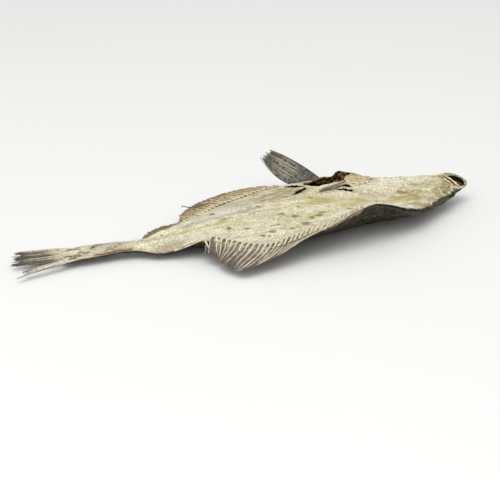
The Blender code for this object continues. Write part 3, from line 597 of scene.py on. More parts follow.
class Paint:
    """A material's nodes. Sizes are in millimetres."""

    def __init__(self, name):
        self.material = bpy.data.materials.new(name)
        self.material.use_nodes = True
        self.tree = self.material.node_tree
        self.place = self.tree.nodes.new("ShaderNodeTexCoord").outputs["Object"]

    def node(self, kind, settings=None, **sockets):
        made = self.tree.nodes.new(kind)
        for key, value in (settings or {}).items():
            setattr(made, key, value)
        for key, value in sockets.items():
            self.set(made.inputs[key.replace("_", " ")], value)
        return made

    def set(self, socket, value):
        if isinstance(value, bpy.types.NodeSocket):
            self.tree.links.new(value, socket)
        else:
            socket.default_value = (*value, 1) if socket.type == "RGBA" else value

    def mask(self, name):
        return self.node("ShaderNodeAttribute", {"attribute_name": name}).outputs["Fac"]

    def stretched(self, scale, turn_deg):
        turn = (0, 0, math.radians(turn_deg))
        return self.node("ShaderNodeMapping", Vector=self.place, Scale=scale, Rotation=turn).outputs["Vector"]

    def noise(self, size, detail, place=None):
        sockets = {"Vector": place or self.place, "Scale": 1 / MM / size, "Detail": detail}
        return self.node("ShaderNodeTexNoise", **sockets).outputs["Fac"]

    def cells(self, size):
        return self.node("ShaderNodeTexVoronoi", Vector=self.place, Scale=1 / MM / size).outputs["Distance"]

    def range(self, value, low, high, to_low=0, to_high=1):
        limits = {"From_Min": low, "From_Max": high, "To_Min": to_low, "To_Max": to_high}
        made = self.node("ShaderNodeMapRange", {"interpolation_type": "SMOOTHSTEP"}, Value=value, **limits)
        return made.outputs["Result"]

    def both(self, a, b):
        made = self.node("ShaderNodeMath", {"operation": "MULTIPLY"})
        self.set(made.inputs[0], a)
        self.set(made.inputs[1], b)
        return made.outputs[0]

    def mix(self, a, b, share):
        made = self.node("ShaderNodeMix", {"data_type": "RGBA"})
        for socket, value in zip((0, 6, 7), (share, a, b)):
            self.set(made.inputs[socket], value)
        return made.outputs[2]

    def layers(self, colour, *layers):
        """Tints over a colour, each as strong as a mask or value, as the range of a pattern, or as both."""
        for tint, mask, *pattern in layers:
            share = self.mask(mask) if isinstance(mask, str) else mask
            if pattern:
                spread = self.range(*pattern)
                share = spread if share is None else self.both(share, spread)
            colour = self.mix(colour, tint, share)
        return colour

    def bump(self, *heights):
        """A normal with bumps over one another, each given as its pattern and its height."""
        normal = None
        for pattern, height in heights:
            made = self.node("ShaderNodeBump", Height=pattern, Distance=height * MM, Strength=1)
            if normal:
                self.set(made.inputs["Normal"], normal)
            normal = made.outputs["Normal"]
        return normal

    def finish(self, colour, roughness, specular, *heights):
        shader = self.tree.nodes["Principled BSDF"]
        self.set(shader.inputs["Base Color"], colour)
        self.set(shader.inputs["Roughness"], roughness)
        self.set(shader.inputs["Normal"], self.bump(*heights))
        self.set(shader.inputs["Specular IOR Level"], specular)
        return self.material


def eyed_colours(p):
    """Near black skin, darkened further as painted shade for the underside, with paler scales and scattered
    specks.
    """
    scales = p.cells(1.15)
    few = p.range(p.noise(3, 2), 0.44, 0.62)
    return p.layers(
        EYED_DARK,
        (EYED_LIGHT, None, p.noise(5, 4), 0.35, 0.68),
        (EYED_LIGHT, None, scales, 0.45, 0.15, 0, 0.7),
        (EYED_SPECK, few, scales, 0.28, 0.14),
    )


def blind_paint():
    """The pale side: cream with patches, painted shade in the wrinkles and hollows, pores, flecks and spots.
    """
    p = Paint("blind_skin")
    broad, mottle, grain, scales = p.noise(16, 3), p.noise(4, 4), p.noise(0.9, 2), p.cells(1.3)
    streaks = p.noise(1.9, 3, p.stretched((0.25, 1, 1), 8))
    specks = p.noise(0.72, 1.5, p.stretched((1, 0.6, 1), 20))
    hues = p.noise(3.2, 2, p.stretched((0.6, 0.8, 1), -15))
    colour = p.layers(
        CREAM,
        (SKIN_WHITE, None, mottle, 0.4, 0.62),
        (SKIN_GREENISH, None, broad, 0.5, 0.66, 0, 0.7),
        (SKIN_PINKISH, None, broad, 0.47, 0.32, 0, 0.7),
        (SKIN_GREENISH, None, hues, 0.54, 0.68, 0, 0.6),
        (SKIN_PINKISH, None, hues, 0.46, 0.32, 0, 0.6),
        (SKIN_COOL, "cool", mottle, 0.28, 0.5, 0.4, 1),
        (FLECK, None, specks, 0.47, 0.36, 0, 0.7),
        (SKIN_WHITE, "white", mottle, 0.3, 0.5, 0.3, 1),
        (SKIN_YELLOW, "yellow", hues, 0.32, 0.54, 0.3, 1),
        (SKIN_OLIVE, "olive", streaks, 0.36, 0.6, 0.1, 1),
        (SKIN_GREY, "grey", streaks, 0.3, 0.54, 0.3, 1),
        (SKIN_MAUVE, "pink", mottle, 0.34, 0.56, 0.2, 1),
        (SKIN_BROWN, "brown", streaks, 0.34, 0.56, 0.3, 1),
        (ORANGE, "orange", grain, 0.3, 0.6, 0.5, 1),
        (SKIN_DIRT_AND_CREASE_SHADE, None, streaks, 0.56, 0.72, 0, 0.6),
        # Painted shade in the creases of the wrinkles.
        (SKIN_DIRT_AND_CREASE_SHADE, "dirt", grain, 0.25, 0.6, 0.25, 0.9),
        (SKIN_DIRT_AND_CREASE_SHADE, "scales", scales, 0.3, 0.62, 0, 0.8),
        (PORE_COLOUR, p.range(p.noise(2.6, 3), 0.42, 0.6, 0.15, 0.9), scales, 0.3, 0.14),
        (SKIN_OLIVE, p.range(broad, 0.38, 0.62, 0.45, 1), specks, 0.52, 0.61),
        (PAINTS["membrane"][0], "rim"),
        (SPOT_COLOUR, "spot", grain, 0.15, 0.5, 0.3, 1),
        (PIT_COLOUR, "mark", grain, 0.3, 0.55, 0.45, 1),
        (PIT_COLOUR, "pit"),
        (eyed_colours(p), "eyed"),
        (INSIDE_BROWN, "inside"),
        # Painted shade in the mouth, the gut and the slits.
        (HOLE_SHADE, "hole"),
    )
    roughness = p.range(mottle, 0.3, 0.7, 0.5, 0.72)
    return p.finish(colour, roughness, 0.3, (streaks, 0.5), (mottle, 0.6), (scales, 0.22), (specks, 0.25))


def eyed_paint():
    p = Paint("eyed_skin")
    pale = p.mix(SKIN_MAUVE, SKIN_BROWN, p.noise(3, 3))
    colour = p.mix(pale, eyed_colours(p), p.mask("eyed"))
    return p.finish(colour, 0.62, 0.12, (p.noise(4, 4), 0.5), (p.cells(1.15), 0.3))


@cache
def bone_paint(name):
    """Fin rays, teeth and jaw bones, darker where they are stained and pale at their roots."""
    p = Paint(name)
    light, dark = PAINTS[name]
    root = p.both(p.mask("root"), 0.8)
    colour = p.layers(light, (dark, None, p.noise(2.4, 4), 0.5, 0.78), (dark, "stain"), (BONE_ROOT, root))
    return p.finish(colour, 0.55, 0.35, (p.noise(0.6, 2), 0.08))


def membrane_paint(name):
    """The dried skin between fin rays, spotted dark, with a dark pit at each root."""
    p = Paint(name)
    light, dark = PAINTS[name]
    colour = p.layers(
        dark,
        (light, None, p.noise(2.2, 4), 0.34, 0.62),
        (tuple(min(1, 1.9 * c) for c in light), None, p.noise(1, 2), 0.6, 0.72),
        (dark, p.both(p.mask("edge"), 0.8)),
        (MEMBRANE_SKIN, "skin", p.noise(1.8, 3), 0.3, 0.55),
        (ROOT_PIT_COLOUR, "pit"),
    )
    return p.finish(colour, 0.6, 0.25, (p.noise(0.8, 3), 0.2))


def flesh_paint():
    """Gut lining and torn tissue: dark brown, or pale where it has dried in the open, with painted shade
    where it lines a hollow.
    """
    p = Paint("gut_lining")
    fibres, tears = p.noise(1.3, 4, p.stretched((0.35, 1, 0.6), -20)), p.noise(2.2, 3)
    dried = (TISSUE_LIGHT, None, fibres, 0.36, 0.56), (TISSUE_DARK, None, tears, 0.43, 0.35, 0, 0.85)
    pale = p.layers(TISSUE_SHADE, *dried)
    colour = p.layers(GUT_DARK, (GUT_LIGHT, None, fibres, 0.42, 0.62), (HOLE_SHADE, "hole"), (pale, "pale"))
    return p.finish(colour, 0.75, 0.05, (fibres, 0.6))


# ---- the body's form

def mouth_frame():
    """Unit vectors along the mouth, across it and out of it."""
    normal = unit(MOUTH_NORMAL)
    across = unit(np.cross(normal, MOUTH_AXIS))
    return np.cross(across, normal), across, normal


def mouth_place(x, y):
    """Where a place lies in the mouth's plane, along and across it, and the plane's height there."""
    along, across, normal = mouth_frame()
    dx, dy = x - MOUTH_CENTRE[0], y - MOUTH_CENTRE[1]
    dz = -(normal[0] * dx + normal[1] * dy) / normal[2]
    a, b = (axis[0] * dx + axis[1] * dy + axis[2] * dz for axis in (along, across))
    return a / MOUTH_LONG, b / MOUTH_SHORT, MOUTH_CENTRE[2] + dz


def mouth_point(turn_deg, out=1.0, lift=0.0):
    """A place round the mouth, out from its centre, where 1 is on the lips, and over their plane."""
    along, across, normal = mouth_frame()
    turn = math.radians(turn_deg)
    flat = along * MOUTH_LONG * math.cos(turn) + across * MOUTH_SHORT * math.sin(turn)
    return np.array(MOUTH_CENTRE) + flat * out + normal * lift


def snout_rounding(x):
    t = np.clip((x - SNOUT_ROUNDS_FROM_X) / (SNOUT_X - SNOUT_ROUNDS_FROM_X), 0, 1)
    return np.sqrt(np.maximum(1 - t**2.4, 0))


def section(x, v):
    """y, the height of the middle and the half thickness of the body at a place across it."""
    q = np.abs(v)
    to_belly = v > 0
    edge_y = np.where(to_belly, belly_y(x), dorsal_y(x))
    edge_z = np.where(to_belly, belly_z(x), dorsal_z(x))
    rim = np.where(to_belly, belly_rim(x), dorsal_rim(x))
    curl = np.where(to_belly, BELLY_CURL, dorsal_curl(x))
    rounding = snout_rounding(x)
    middle = (back_top(x) + back_under(x)) / 2
    core = (back_top(x) - back_under(x)) / 2
    y = backbone_y(x) + (edge_y - backbone_y(x)) * q * rounding
    height = middle + (edge_z - middle) * q**curl
    half = rim * np.sqrt(1 - q**RIM_SQUARENESS) + (core - rim) * (1 - q**2) ** FLESH_TAPER
    return y, height, half * rounding


def large_relief(x, y, v):
    """The forms that the solid has too."""
    inner = 1 - v**4
    on_body = within(x, MUSCLES_X)
    groove = -GROOVE_DEPTH * bell(v, GROOVE_V, GROOVE_WIDTH) * on_body
    muscle = -MUSCLE_HEIGHT * np.cos(v * 2 * math.pi) * on_body * inner
    gill_edge = GILL_EDGE_X + GILL_EDGE_BEND * (y - GILL_EDGE_Y) ** 2
    gill_cover = GILL_COVER_HEIGHT * smooth_step(-1.5, 1.5, x - gill_edge) * smooth_step(-16, -2, y) * inner
    return groove + muscle + gill_cover - CHEEK_DEPTH * bell(y, cheek_y(x), CHEEK_WIDTH) * within(x, CHEEK_X)


def body_over(x, y):
    """v and the heights of the eyed and the blind side over places of the fish."""
    edge = np.where(y > backbone_y(x), belly_y(x), dorsal_y(x))
    v = np.clip((y - backbone_y(x)) / np.abs(edge - backbone_y(x)), -1, 1)
    _, height, half = section(x, v)
    return v, height - half, height + half + large_relief(x, y, v)


def rim_bumps(x, v):
    """How far the edge of the head juts in and out, most of all under the snout, where it is ragged."""
    ragged = smooth_step(*RAGGED_FROM, x) * (0.9 * noise(x, 0, 3.4, 305) - 0.15)
    bumps = 0.55 * (noise(x, 0, 2.3, 301) + 0.6 * noise(x, 0, 1.1, 303)) + 1.6 * ragged
    return smooth_step(0.86, 1, -v) * within(x, RIM_BUMPS_X) * bumps


def ray_positions(edge_y, table):
    """x of each fin ray, evenly spaced along the edge."""
    x = np.linspace(table[0][0], table[-1][0], 400)
    run = np.concatenate([[0], np.cumsum(np.hypot(np.diff(x), np.diff(edge_y(x))))])
    return np.interp(np.linspace(0, run[-1], int(run[-1] / RAY_SPACING)), run, x)


def ray_beat(x, edge_y, table):
    """1 at the root of each fin ray and -1 halfway between two."""
    roots = ray_positions(edge_y, table)
    return np.cos(2 * math.pi * np.interp(x, roots, np.arange(len(roots))))


def margin_forms(x, y):
    """Knobs of the fins' roots with pits between them, and the bones that fan in from them."""
    height, pits, knobs = 0, 0, 0
    margins = (
        (y - dorsal_y(x), dorsal_y, DORSAL_RAYS, DORSAL_KNOBS_X, 1 - 0.6 * smooth_step(4, 20, x)),
        (belly_y(x) - y, belly_y, ANAL_RAYS, ANAL_KNOBS_X, 0.25),
    )
    for inward, edge_y, table, stretch, pitted in margins:
        beat = ray_beat(x - 1.3 * np.maximum(inward - 2, 0), edge_y, table)
        on_fin = within(x, stretch)
        knob, sunk = bell(inward, 1.9, 1.5) * on_fin, bell(inward, 1.2, 1.7) * on_fin
        fan = within(inward, ((1, 4), (9, 17))) * on_fin
        height = height + 0.6 * beat * knob + 0.22 * beat * fan
        pits = pits + pitted * (np.clip(-1.7 * beat, 0, 1) * sunk + 0.2 * np.clip(-beat, 0, 1) * fan)
        knobs = knobs + np.clip(1.4 * beat, 0, 1) * knob + 0.5 * np.clip(beat, 0, 1) * fan
    return height, np.clip(pits, 0, 1), np.clip(knobs, 0, 1)


def wrinkles(x, y, on_head):
    """Small forms of the dried skin, and how deep in a crease each place is, which sets the crease's painted
    shade.
    """
    warp = 1.5 * rough(x, y, 14, 201)
    long = creases(0.2 * x + warp, y + 0.3 * warp, 2.6, 3)
    crumple = creases(x + warp, 1.3 * y - warp, 7, 19)
    net = creases(x, y, 2.3, 23)
    height = 0.4 * rough(x, y, 13, 11) + (0.22 + 0.2 * on_head) * rough(x, y, 4.5, 17)
    height = height + 0.42 * (long - 0.7) + (0.15 + 0.35 * on_head) * (crumple - 0.7) + 0.15 * (net - 0.7)
    depth = 0.75 * np.clip(1 - long / 0.4, 0, 1) * (0.5 + 0.5 * noise(x, y, 9, 29))
    depth = depth + (0.25 + 0.5 * on_head) * np.clip(1 - crumple / 0.35, 0, 1)
    return height, np.clip(depth + 0.25 * np.clip(1 - net / 0.3, 0, 1), 0, 1)


def face_forms(x, y):
    """Height of the folds and lumps of the skin, how brown the folds are and how dark the lumps are."""
    height, brown, dark = 0, 0, 0
    for width, depth, shade, places in FOLDS:
        apart = line_distance(x, y, places) + 0.25 * noise(x, y, 1.8, 57)
        height = height - depth * bell(apart, 0, width) + 0.6 * depth * bell(apart, 2 * width, width)
        brown = brown + shade * bell(apart, 0, 1.1 * width)
    for cx, cy, rx, ry, rise, shade in LUMPS:
        lump = bell(np.hypot((x - cx) / rx, (y - cy) / ry), 0, 1)
        height = height + rise * lump
        dark = np.maximum(dark, shade * lump)
    return height, np.clip(brown, 0, 1), dark


def press_mouth(x, y, z, height, half):
    """Heights with the mouth pressed in, how far inside it each place is and how much painted shade it gets.
    """
    a, b, plane = mouth_place(x, y)
    out = np.hypot(a, b)
    near = 1 - smooth_step(1.3, 2.1, out)
    lips = 0.25 * LIP_HEIGHT * bell(out, 1, LIP_WIDTH / MOUTH_SHORT)
    z = np.maximum(z + (plane - 0.35 - z) * near + lips, height)
    hollow = np.clip(out / MOUTH_HOLLOW, 0, 1)
    bottom = np.maximum(plane - MOUTH_DEPTH * np.sqrt(1 - hollow**2), height - half + MOUTH_FLOOR)
    inside = 1 - smooth_step(0.9, 1, hollow)
    return np.where(hollow < 1, bottom, z), inside, 0.9 * inside * smooth_step(0.45, 0.85, hollow)


def gut_inward(x, y):
    """How far in from the gut's torn lip each place is."""
    return depth_inside(x, y, GUT_LIP) + 0.5 * rough(x, y, 3, 31)


def gut_sink(inward):
    """How deep the gut is at a distance in from its lip."""
    return GUT_DEPTH * np.sqrt(1 - (1 - np.clip(inward / GUT_SLOPE, 0, 1)) ** 2)


def press_gut(x, y, z, floor):
    """Heights with the gut pressed in beside its raised lip, and how much painted shade each place gets."""
    inward = gut_inward(x, y)
    z = np.where(inward > 0, np.maximum(z - gut_sink(inward), floor), z)
    return z + 0.5 * bell(inward, -0.9, 0.8), smooth_step(-0.1, 0.5, inward)


def press_cuts(x, y, z):
    """Heights with the slits and notches pressed in, and how much painted shade each place gets."""
    hole = 0
    for width, depth, step, line in CUTS:
        from_line = line_distance(x, y, line)
        apart = from_line + 0.45 * noise(x, y, 1.7, 53)
        line_x, line_y = zip(*line)
        beyond = np.where(y > np.interp(x, line_x, line_y), from_line, -from_line)
        along = within(x, ((line_x[0] - 0.5, line_x[0] + 1.5), (line_x[-1] - 1.5, line_x[-1] + 0.5)))
        rise = step * along * smooth_step(0, 0.8 * width, beyond) * np.exp(-from_line / 3.5)
        z = z - depth * (1 - smooth_step(0.4 * width, 1.4 * width, apart)) + rise
        hole = np.maximum(hole, 0.8 * (1 - smooth_step(0.5 * width, 1.2 * width, apart)))
    return z, hole


# ---- the body's stains

def dark_edge(x, y, v):
    """How much of the eyed side's dark skin laps over the edge of the blind side."""
    lap = 0.015 * smooth_step(120, 132, x) + 0.03 * smooth_step(150, 160, x)
    bound = 0.978 - lap + 0.01 * noise(x, y, 3, 43)
    near = smooth_step(bound, bound + 0.02, -v) * smooth_step(*DARK_LAP_FROM, x)
    far = 0.8 * smooth_step(0.975, 0.995, v)
    snout = smooth_step(0.2, 0.6, patches(x, y, LAP_PATCHES) + 0.35 * noise(x, 1.6 * y, 1.6, 45) - 0.1)
    return np.maximum(np.maximum(near, far), 0.95 * snout)


def edge_brown(x, y):
    """The browned strips along the two margins."""
    near = bell(y - dorsal_y(x), 0.9, 1.3) * within(x, STALK_BROWN_X)
    inward = belly_y(x) - y
    far = bell(inward, 0, 4) * within(x, REAR_BROWN_X) + 0.45 * bell(inward, 0, 5) * within(x, MIDDLE_BROWN_X)
    return 0.9 * near + 0.85 * far * (0.6 + 0.6 * noise(x, y, 5, 41))


def orange_edge(x, y):
    """Slanting orange strokes between the roots of the far fin, and dashes between those of the near one."""
    inward = belly_y(x) - y
    strokes = np.clip(ray_beat(x - 0.9 * inward, belly_y, ANAL_RAYS), 0, 1) * bell(inward, 4, 3.5)
    strokes = strokes * sum(within(x, stretch) for stretch in ANAL_STROKES_X)
    dashes = np.clip(-1.6 * ray_beat(x, dorsal_y, DORSAL_RAYS), 0, 1) * bell(y - dorsal_y(x), 1.6, 1.2)
    return np.clip(0.8 * strokes + 0.7 * dashes * within(x, DORSAL_DASHES_X), 0, 1)


def stalk_marks(x, y):
    """The dark marks on the tail's stalk."""
    wavy = 0.4 * noise(x, y, 1.3, 59)
    marks = [strength * bell(line_distance(x, y, line) + wavy, 0, width) for width, strength, line in MARKS]
    return np.clip(np.max(marks, axis=0), 0, 1)


def spots(x, y):
    long, wide = SPOT_SPREAD
    return patches(x, y, [(sx, sy, long * rx, wide * ry, SPOT_STRENGTH) for sx, sy, rx, ry in SPOTS])


def stains(x, y, lateral, knobs, brown_folds):
    """The masks of the blind side's patches of colour, whose edges are warped."""
    warp = 2 - 1.7 * smooth_step(122, 136, x)
    wx, wy = x + warp * rough(x, y, 9, 5), y + warp * rough(x, y, 9, 7)
    band = bell(y, lateral_y(x) + 4.2, 2.8) * within(x, GREY_BAND_X)
    fringe = bell(wy, lateral_y(x) - 3.4, 2.2) * within(x, LATERAL_X) * (1 - smooth_step(*FRINGE_FADES, x))
    gill = bell(line_distance(x, y, GILL_LINE), 0, 0.9)
    cheek = bell(y, cheek_y(x) - 0.8, 0.9) * within(x, CHEEK_STAIN_X)
    mouth_a, mouth_b, _ = mouth_place(x, y)
    lip = bell(np.hypot(mouth_a, mouth_b), 1.18, 0.28) * smooth_step(-0.9, -0.3, mouth_b + 0.9 * mouth_a)
    more = {
        "olive": 0.75 * fringe + 0.8 * lip,
        "grey": 0.9 * band,
        "white": 0.9 * knobs + 0.8 * lateral,
        "brown": edge_brown(x, y) + 0.7 * gill + 0.7 * cheek + brown_folds + lip,
    }
    sums = {name: patches(wx, wy, table) + more.get(name, 0) for name, table in PATCHES.items()}
    return {name: np.clip(strength, 0, 1) for name, strength in sums.items()}


# ---- the body's two skins

def blind_side(x, v):
    """Points and masks of the blind side's skin."""
    y, height, half = section(x, v)
    lateral = bell(y, lateral_y(x), 1.1) * within(x, LATERAL_X)
    fin_forms, pits, knobs = margin_forms(x, y)
    fine, dirt = wrinkles(x, y, smooth_step(*HEAD_FROM, x))
    folds, brown_folds, dark_lumps = face_forms(x, y)
    relief = large_relief(x, y, v) + fine + 0.3 * lateral + fin_forms + folds - 0.3
    z = height + half + relief * (1 - np.abs(v) ** 10)
    z, inside, mouth_hole_shade = press_mouth(x, y, z, height, half)
    z, gut_hole_shade = press_gut(x, y, z, height - half + GUT_FLOOR)
    z, cut_hole_shade = press_cuts(x, y, z)
    edge_y = y + rim_bumps(x, v)
    masks = {
        **stains(x, y, lateral, knobs, brown_folds),
        "eyed": dark_edge(x, edge_y, v),
        "mark": stalk_marks(x, y),
        "orange": orange_edge(x, y),
        "rim": 0.85 * within(x, DORSAL_RIM_X) * smooth_step(0.985, 0.998, -v),
        "scales": patches(x, y, SCALE_PATCHES),
        "dirt": dirt,
        "spot": np.maximum(spots(x, y), dark_lumps),
        "pit": pits,
        "inside": inside,
        # Painted shade in the mouth, the gut and the slits.
        "hole": np.maximum(np.maximum(mouth_hole_shade, gut_hole_shade), cut_hole_shade),
    }
    return np.stack([x, edge_y, z], axis=-1), masks


def eyed_side(x, v):
    """Points and masks of the eyed side's skin, which lies below."""
    y, height, half = section(x, v)
    fade = 1 - np.abs(v) ** 10
    fine = 0.5 * rough(x, y, 12, 61) + 0.35 * rough(x, y, 3.5, 67) + 0.2 * noise(x, y, 1.5, 71)
    gill = 0.8 * bell(line_distance(x, y, GILL_LINE), 0, 1.2)
    z = height - half
    for (bx, by), (rx, ry, rz) in HEAD_BUMPS:
        out = np.clip(np.hypot((x - bx) / (rx * BUMP_SPREAD), (y - by) / (ry * BUMP_SPREAD)), 0, 1)
        z = z - rz * np.sqrt(1 - out**2) * 0.9 * fade
    z = np.maximum(z - (fine + margin_forms(x, y)[0]) * fade + gill, 0)
    y = y + rim_bumps(x, v)
    rear = 1 - smooth_step(0, 0.05, 1 + v + 0.02 * noise(x, y, 2.5, 73))
    snout = 1 - smooth_step(0.02, 0.12, 1 + v + 0.05 * noise(x, y, 1.8, 75))
    pale_edge = rear * (1 - smooth_step(*PALE_EDGE_TO, x)) + 0.2 * within(x, RAW_SNOUT_X) * snout
    return np.stack([x, y, z], axis=-1), {"eyed": 1 - pale_edge}


def on_skin(x, y):
    """Heights of the finished blind side over places of the fish."""
    return blind_side(x, body_over(x, y)[0])[0][..., 2]


def skin_grid(rows):
    """x and v of each point of a skin. The rows crowd towards the rims."""
    stops = list(zip(COLUMN_STOPS, COLUMN_STOPS[1:], COLUMN_COUNTS))
    body = [np.linspace(low, high, count, endpoint=False) for low, high, count in stops[:-1]]
    low, high, count = stops[-1]
    snout = low + (high - low) * np.sin(np.linspace(0, math.pi / 2, count))
    even = np.linspace(-1, 1, rows)
    crowded = np.sin(even * math.pi / 2)
    return np.meshgrid(np.concatenate([*body, snout]), even + (crowded - even) * ROW_CROWDING, indexing="ij")


def skin_piece(name, side, rows, paint):
    """A skin as one sheet. The tail's end is drawn together in a point."""
    x, v = skin_grid(rows)
    points, masks = side(x, v)
    tail = points[0].mean(axis=0) - (0.5, 0, 0)
    faces = sheet_faces(*x.shape) + [(i, i + 1, x.size) for i in range(rows - 1)]
    if side is eyed_side:
        faces = [face[::-1] for face in faces]
    full = {key: np.append(value.ravel(), value[0].mean()) for key, value in masks.items()}
    return Shape().add(np.vstack([points.reshape(-1, 3), tail]), faces, **full).piece(name, paint)


# ---- fins

def straight_rays(rays):
    """Paths of rays that are given as root, tip and bow."""
    s = np.linspace(0, 1, RAY_STEPS)[:, None]
    return np.array([root + (tip - root) * s + bow * (4 * s * (1 - s)) for root, tip, bow in rays])


def edge_fin_paths(table, edge_y, edge_z, rim, sign):
    """Paths of the rays of a fin that runs along an edge. They start on the skin, or under a folded edge."""
    s = np.linspace(0, 1, RAY_STEPS)[:, None]
    reaches = [curve(table, n) for n in (1, 2, 3)]
    paths = []
    for x in ray_positions(edge_y, table):
        out = sign * unit((-(edge_y(x + 1) - edge_y(x - 1)) / 2, 1, 0))
        margin = np.array([x, edge_y(x), edge_z(x)])
        reach = np.array([along(x) for along in reaches])
        root, tip = margin - out * FIN_ROOT_DEPTH, margin + reach
        inside = FIN_ROOT_DEPTH / np.linalg.norm(tip - root)
        lift = (rim(x) + 0.3) * (1 - smooth_step(0.45 * inside, 1.7 * inside, s))
        if edge_y is dorsal_y and x > DORSAL_FOLDED_FROM_X:
            lift = -0.8 * rim(x) * (1 - smooth_step(0.3, 1, s)) - 0.2
        paths.append(straight_rays([(root, tip, out * FIN_BOW * abs(reach[0]))])[0] + lift * (0, 0, 1))
    return np.array(paths)


def caudal_paths():
    """The tail fin's rays, drawn together in bunches towards their tips."""
    hub = np.array(CAUDAL_HUB)
    radius = curve(CAUDAL_RADII)
    first, last = CAUDAL_ANGLES
    rays = []
    for n in range(CAUDAL_RAYS):
        share = n / (CAUDAL_RAYS - 1)
        jump = CAUDAL_SPLIT_DEG if n >= CAUDAL_SPLIT else 0
        angle = math.radians(180 - (first + (last - first + CAUDAL_SPLIT_DEG) * share - jump))
        tip = hub + (math.cos(angle) * radius(n), math.sin(angle) * radius(n), -1.8 + math.sin(n))
        root = hub + (-CAUDAL_ROOT_RADIUS, CAUDAL_ROOT_WIDTH * (0.5 - share), 0)
        rays.append((root, tip, np.array([0, 0, 0.8])))
    paths = straight_rays(rays)
    along = np.linspace(0, 1, RAY_STEPS)
    for n, sag, tip_sag in CAUDAL_SAGS:
        paths[n, :, 1] -= sag * np.sin(math.pi * along**0.9) + tip_sag * along**2
    for start, end in CAUDAL_BUNCHES:
        bunch = paths[start:end, :, 1]
        bunch += (bunch.mean(axis=0) - bunch) * along**1.5 * CAUDAL_PULL
    return paths


def fan_paths(roots, tips, bows):
    """Rays spread between a fan's first and last."""
    rows = (np.linspace(*np.array(ends), FAN_RAYS) for ends in (roots, tips, bows))
    return straight_rays(zip(*rows))


def add_fin_bones(
    shape, paths, draw, radius=0.42, spread=0.18, fray=0.02, knob=0.8, stains=0.5, fresh=0, tip=0.4, shade=0,
    shade_from=-1,
):
    """Each ray as a tapering bone with a knob at its root, forking towards its tip."""
    s = np.linspace(0, 1, RAY_STEPS)
    shade = np.broadcast_to(shade, len(paths))
    for n, path in enumerate(paths):
        across = (paths[min(n + 1, len(paths) - 1)] - paths[max(n - 1, 0)]) / 2
        length = np.linalg.norm(path[-1] - path[0])
        sway = draw.normal(0, fray, 3) * length * (1, 1, 0.4)
        tone = stains * draw.uniform(0, 1)
        for branch in (-1, 1):
            apart = branch * (0.03 + spread * smooth_step(FORKS_FROM, 1, s)) * (1 + draw.normal(0, 0.25))
            bent = path + across * apart[:, None] + sway * (s**3)[:, None]
            bent = bent[0] + (bent - bent[0]) * (1 - abs(draw.normal(0, fray)))
            thick = radius * (1 - 0.6 * s) * (1 + knob * bell(s * length, 0, 1.2))
            stain = tone * smooth_step(0.05, 0.3, s) + tip * smooth_step(0.75, 1, s)
            stain = stain + shade[n] * smooth_step(shade_from - 0.12, shade_from + 0.12, s)
            stain = np.clip(stain + (fresh > 0) * (1 - smooth_step(fresh, fresh + 0.2, s)), 0, 1)
            root = bell(s * length, 0, 2.2) * (fresh == 0)
            shape.tube(bent, thick * draw.uniform(0.85, 1.15), stain=stain, root=root)


def add_membranes(
    shape, paths, draw, gaps=(), torn=(0.03, 0.12), holes=0, wave=0.5, pits=1, skin=0, like_skin=0, shade=0,
    shade_from=-1,
):
    """The skin between the rays, with a torn outer edge. A gap is (ray, share) where it ends early."""
    s, t = np.linspace(0, 1, RAY_STEPS)[:, None], np.linspace(0, 1, MEMBRANE_COLUMNS)[None, :]
    arch = np.sin(math.pi * t)
    short = dict(gaps)
    shade, like_skin = (np.broadcast_to(value, len(paths)) for value in (shade, like_skin))
    for n in range(len(paths) - 1):
        tear, nicks = draw.uniform(*torn), draw.uniform(0, 1, MEMBRANE_COLUMNS)
        ends = short.get(n, 1) * (1 - tear * arch - 0.03 * nicks)
        at = np.clip(s * ends, 0, 1) * (RAY_STEPS - 1)
        low = np.minimum(at.astype(int), RAY_STEPS - 2)
        rest = (at - low)[..., None]
        left, right = (path[low] * (1 - rest) + path[low + 1] * rest for path in paths[n : n + 2])
        points = left * (1 - t[..., None]) + right * t[..., None]
        sag = wave * arch * (noise(n * 7.7 + 4 * s, 3 * t, 1, 81) - 0.25)
        points = points + sheet_normals(points) * sag[..., None]
        keep = None
        if holes:
            keep = draw.uniform(0, 1, (RAY_STEPS - 1, MEMBRANE_COLUMNS - 1)) > holes * s[1:] ** 1.2
        pit = pits * (1 - 0.8 * like_skin[n]) * (1 - smooth_step(0.06, 0.15, s)) * arch**1.2
        uneven = 0.1 * np.sin(9 * n + 5 * t) + 0.09 * math.sin(23 * n)
        near_root = (1 - smooth_step(0.5 * skin, skin + 1e-6, s + uneven)) * (skin > 0)
        shaded = shade[n] * smooth_step(shade_from - 0.15, shade_from + 0.15, s + uneven)
        near_root = np.maximum(near_root, like_skin[n])
        edge = np.maximum(smooth_step(0.75, 1, s), shaded)
        shape.add(points, sheet_faces(RAY_STEPS, MEMBRANE_COLUMNS, keep), pit=pit, skin=near_root, edge=edge)


def fin_pieces(name, paths, bone, membrane, seed, bones, webs):
    """A fin's rays as one piece and its membranes as another."""
    draw = np.random.default_rng(seed)
    shape = Shape()
    add_fin_bones(shape, paths, draw, **bones)
    shape.piece(f"{name}_rays", bone_paint(bone))
    shape = Shape()
    add_membranes(shape, paths, draw, **webs)
    shape.piece(f"{name}_membrane", membrane_paint(membrane), MEMBRANE_THICKNESS)


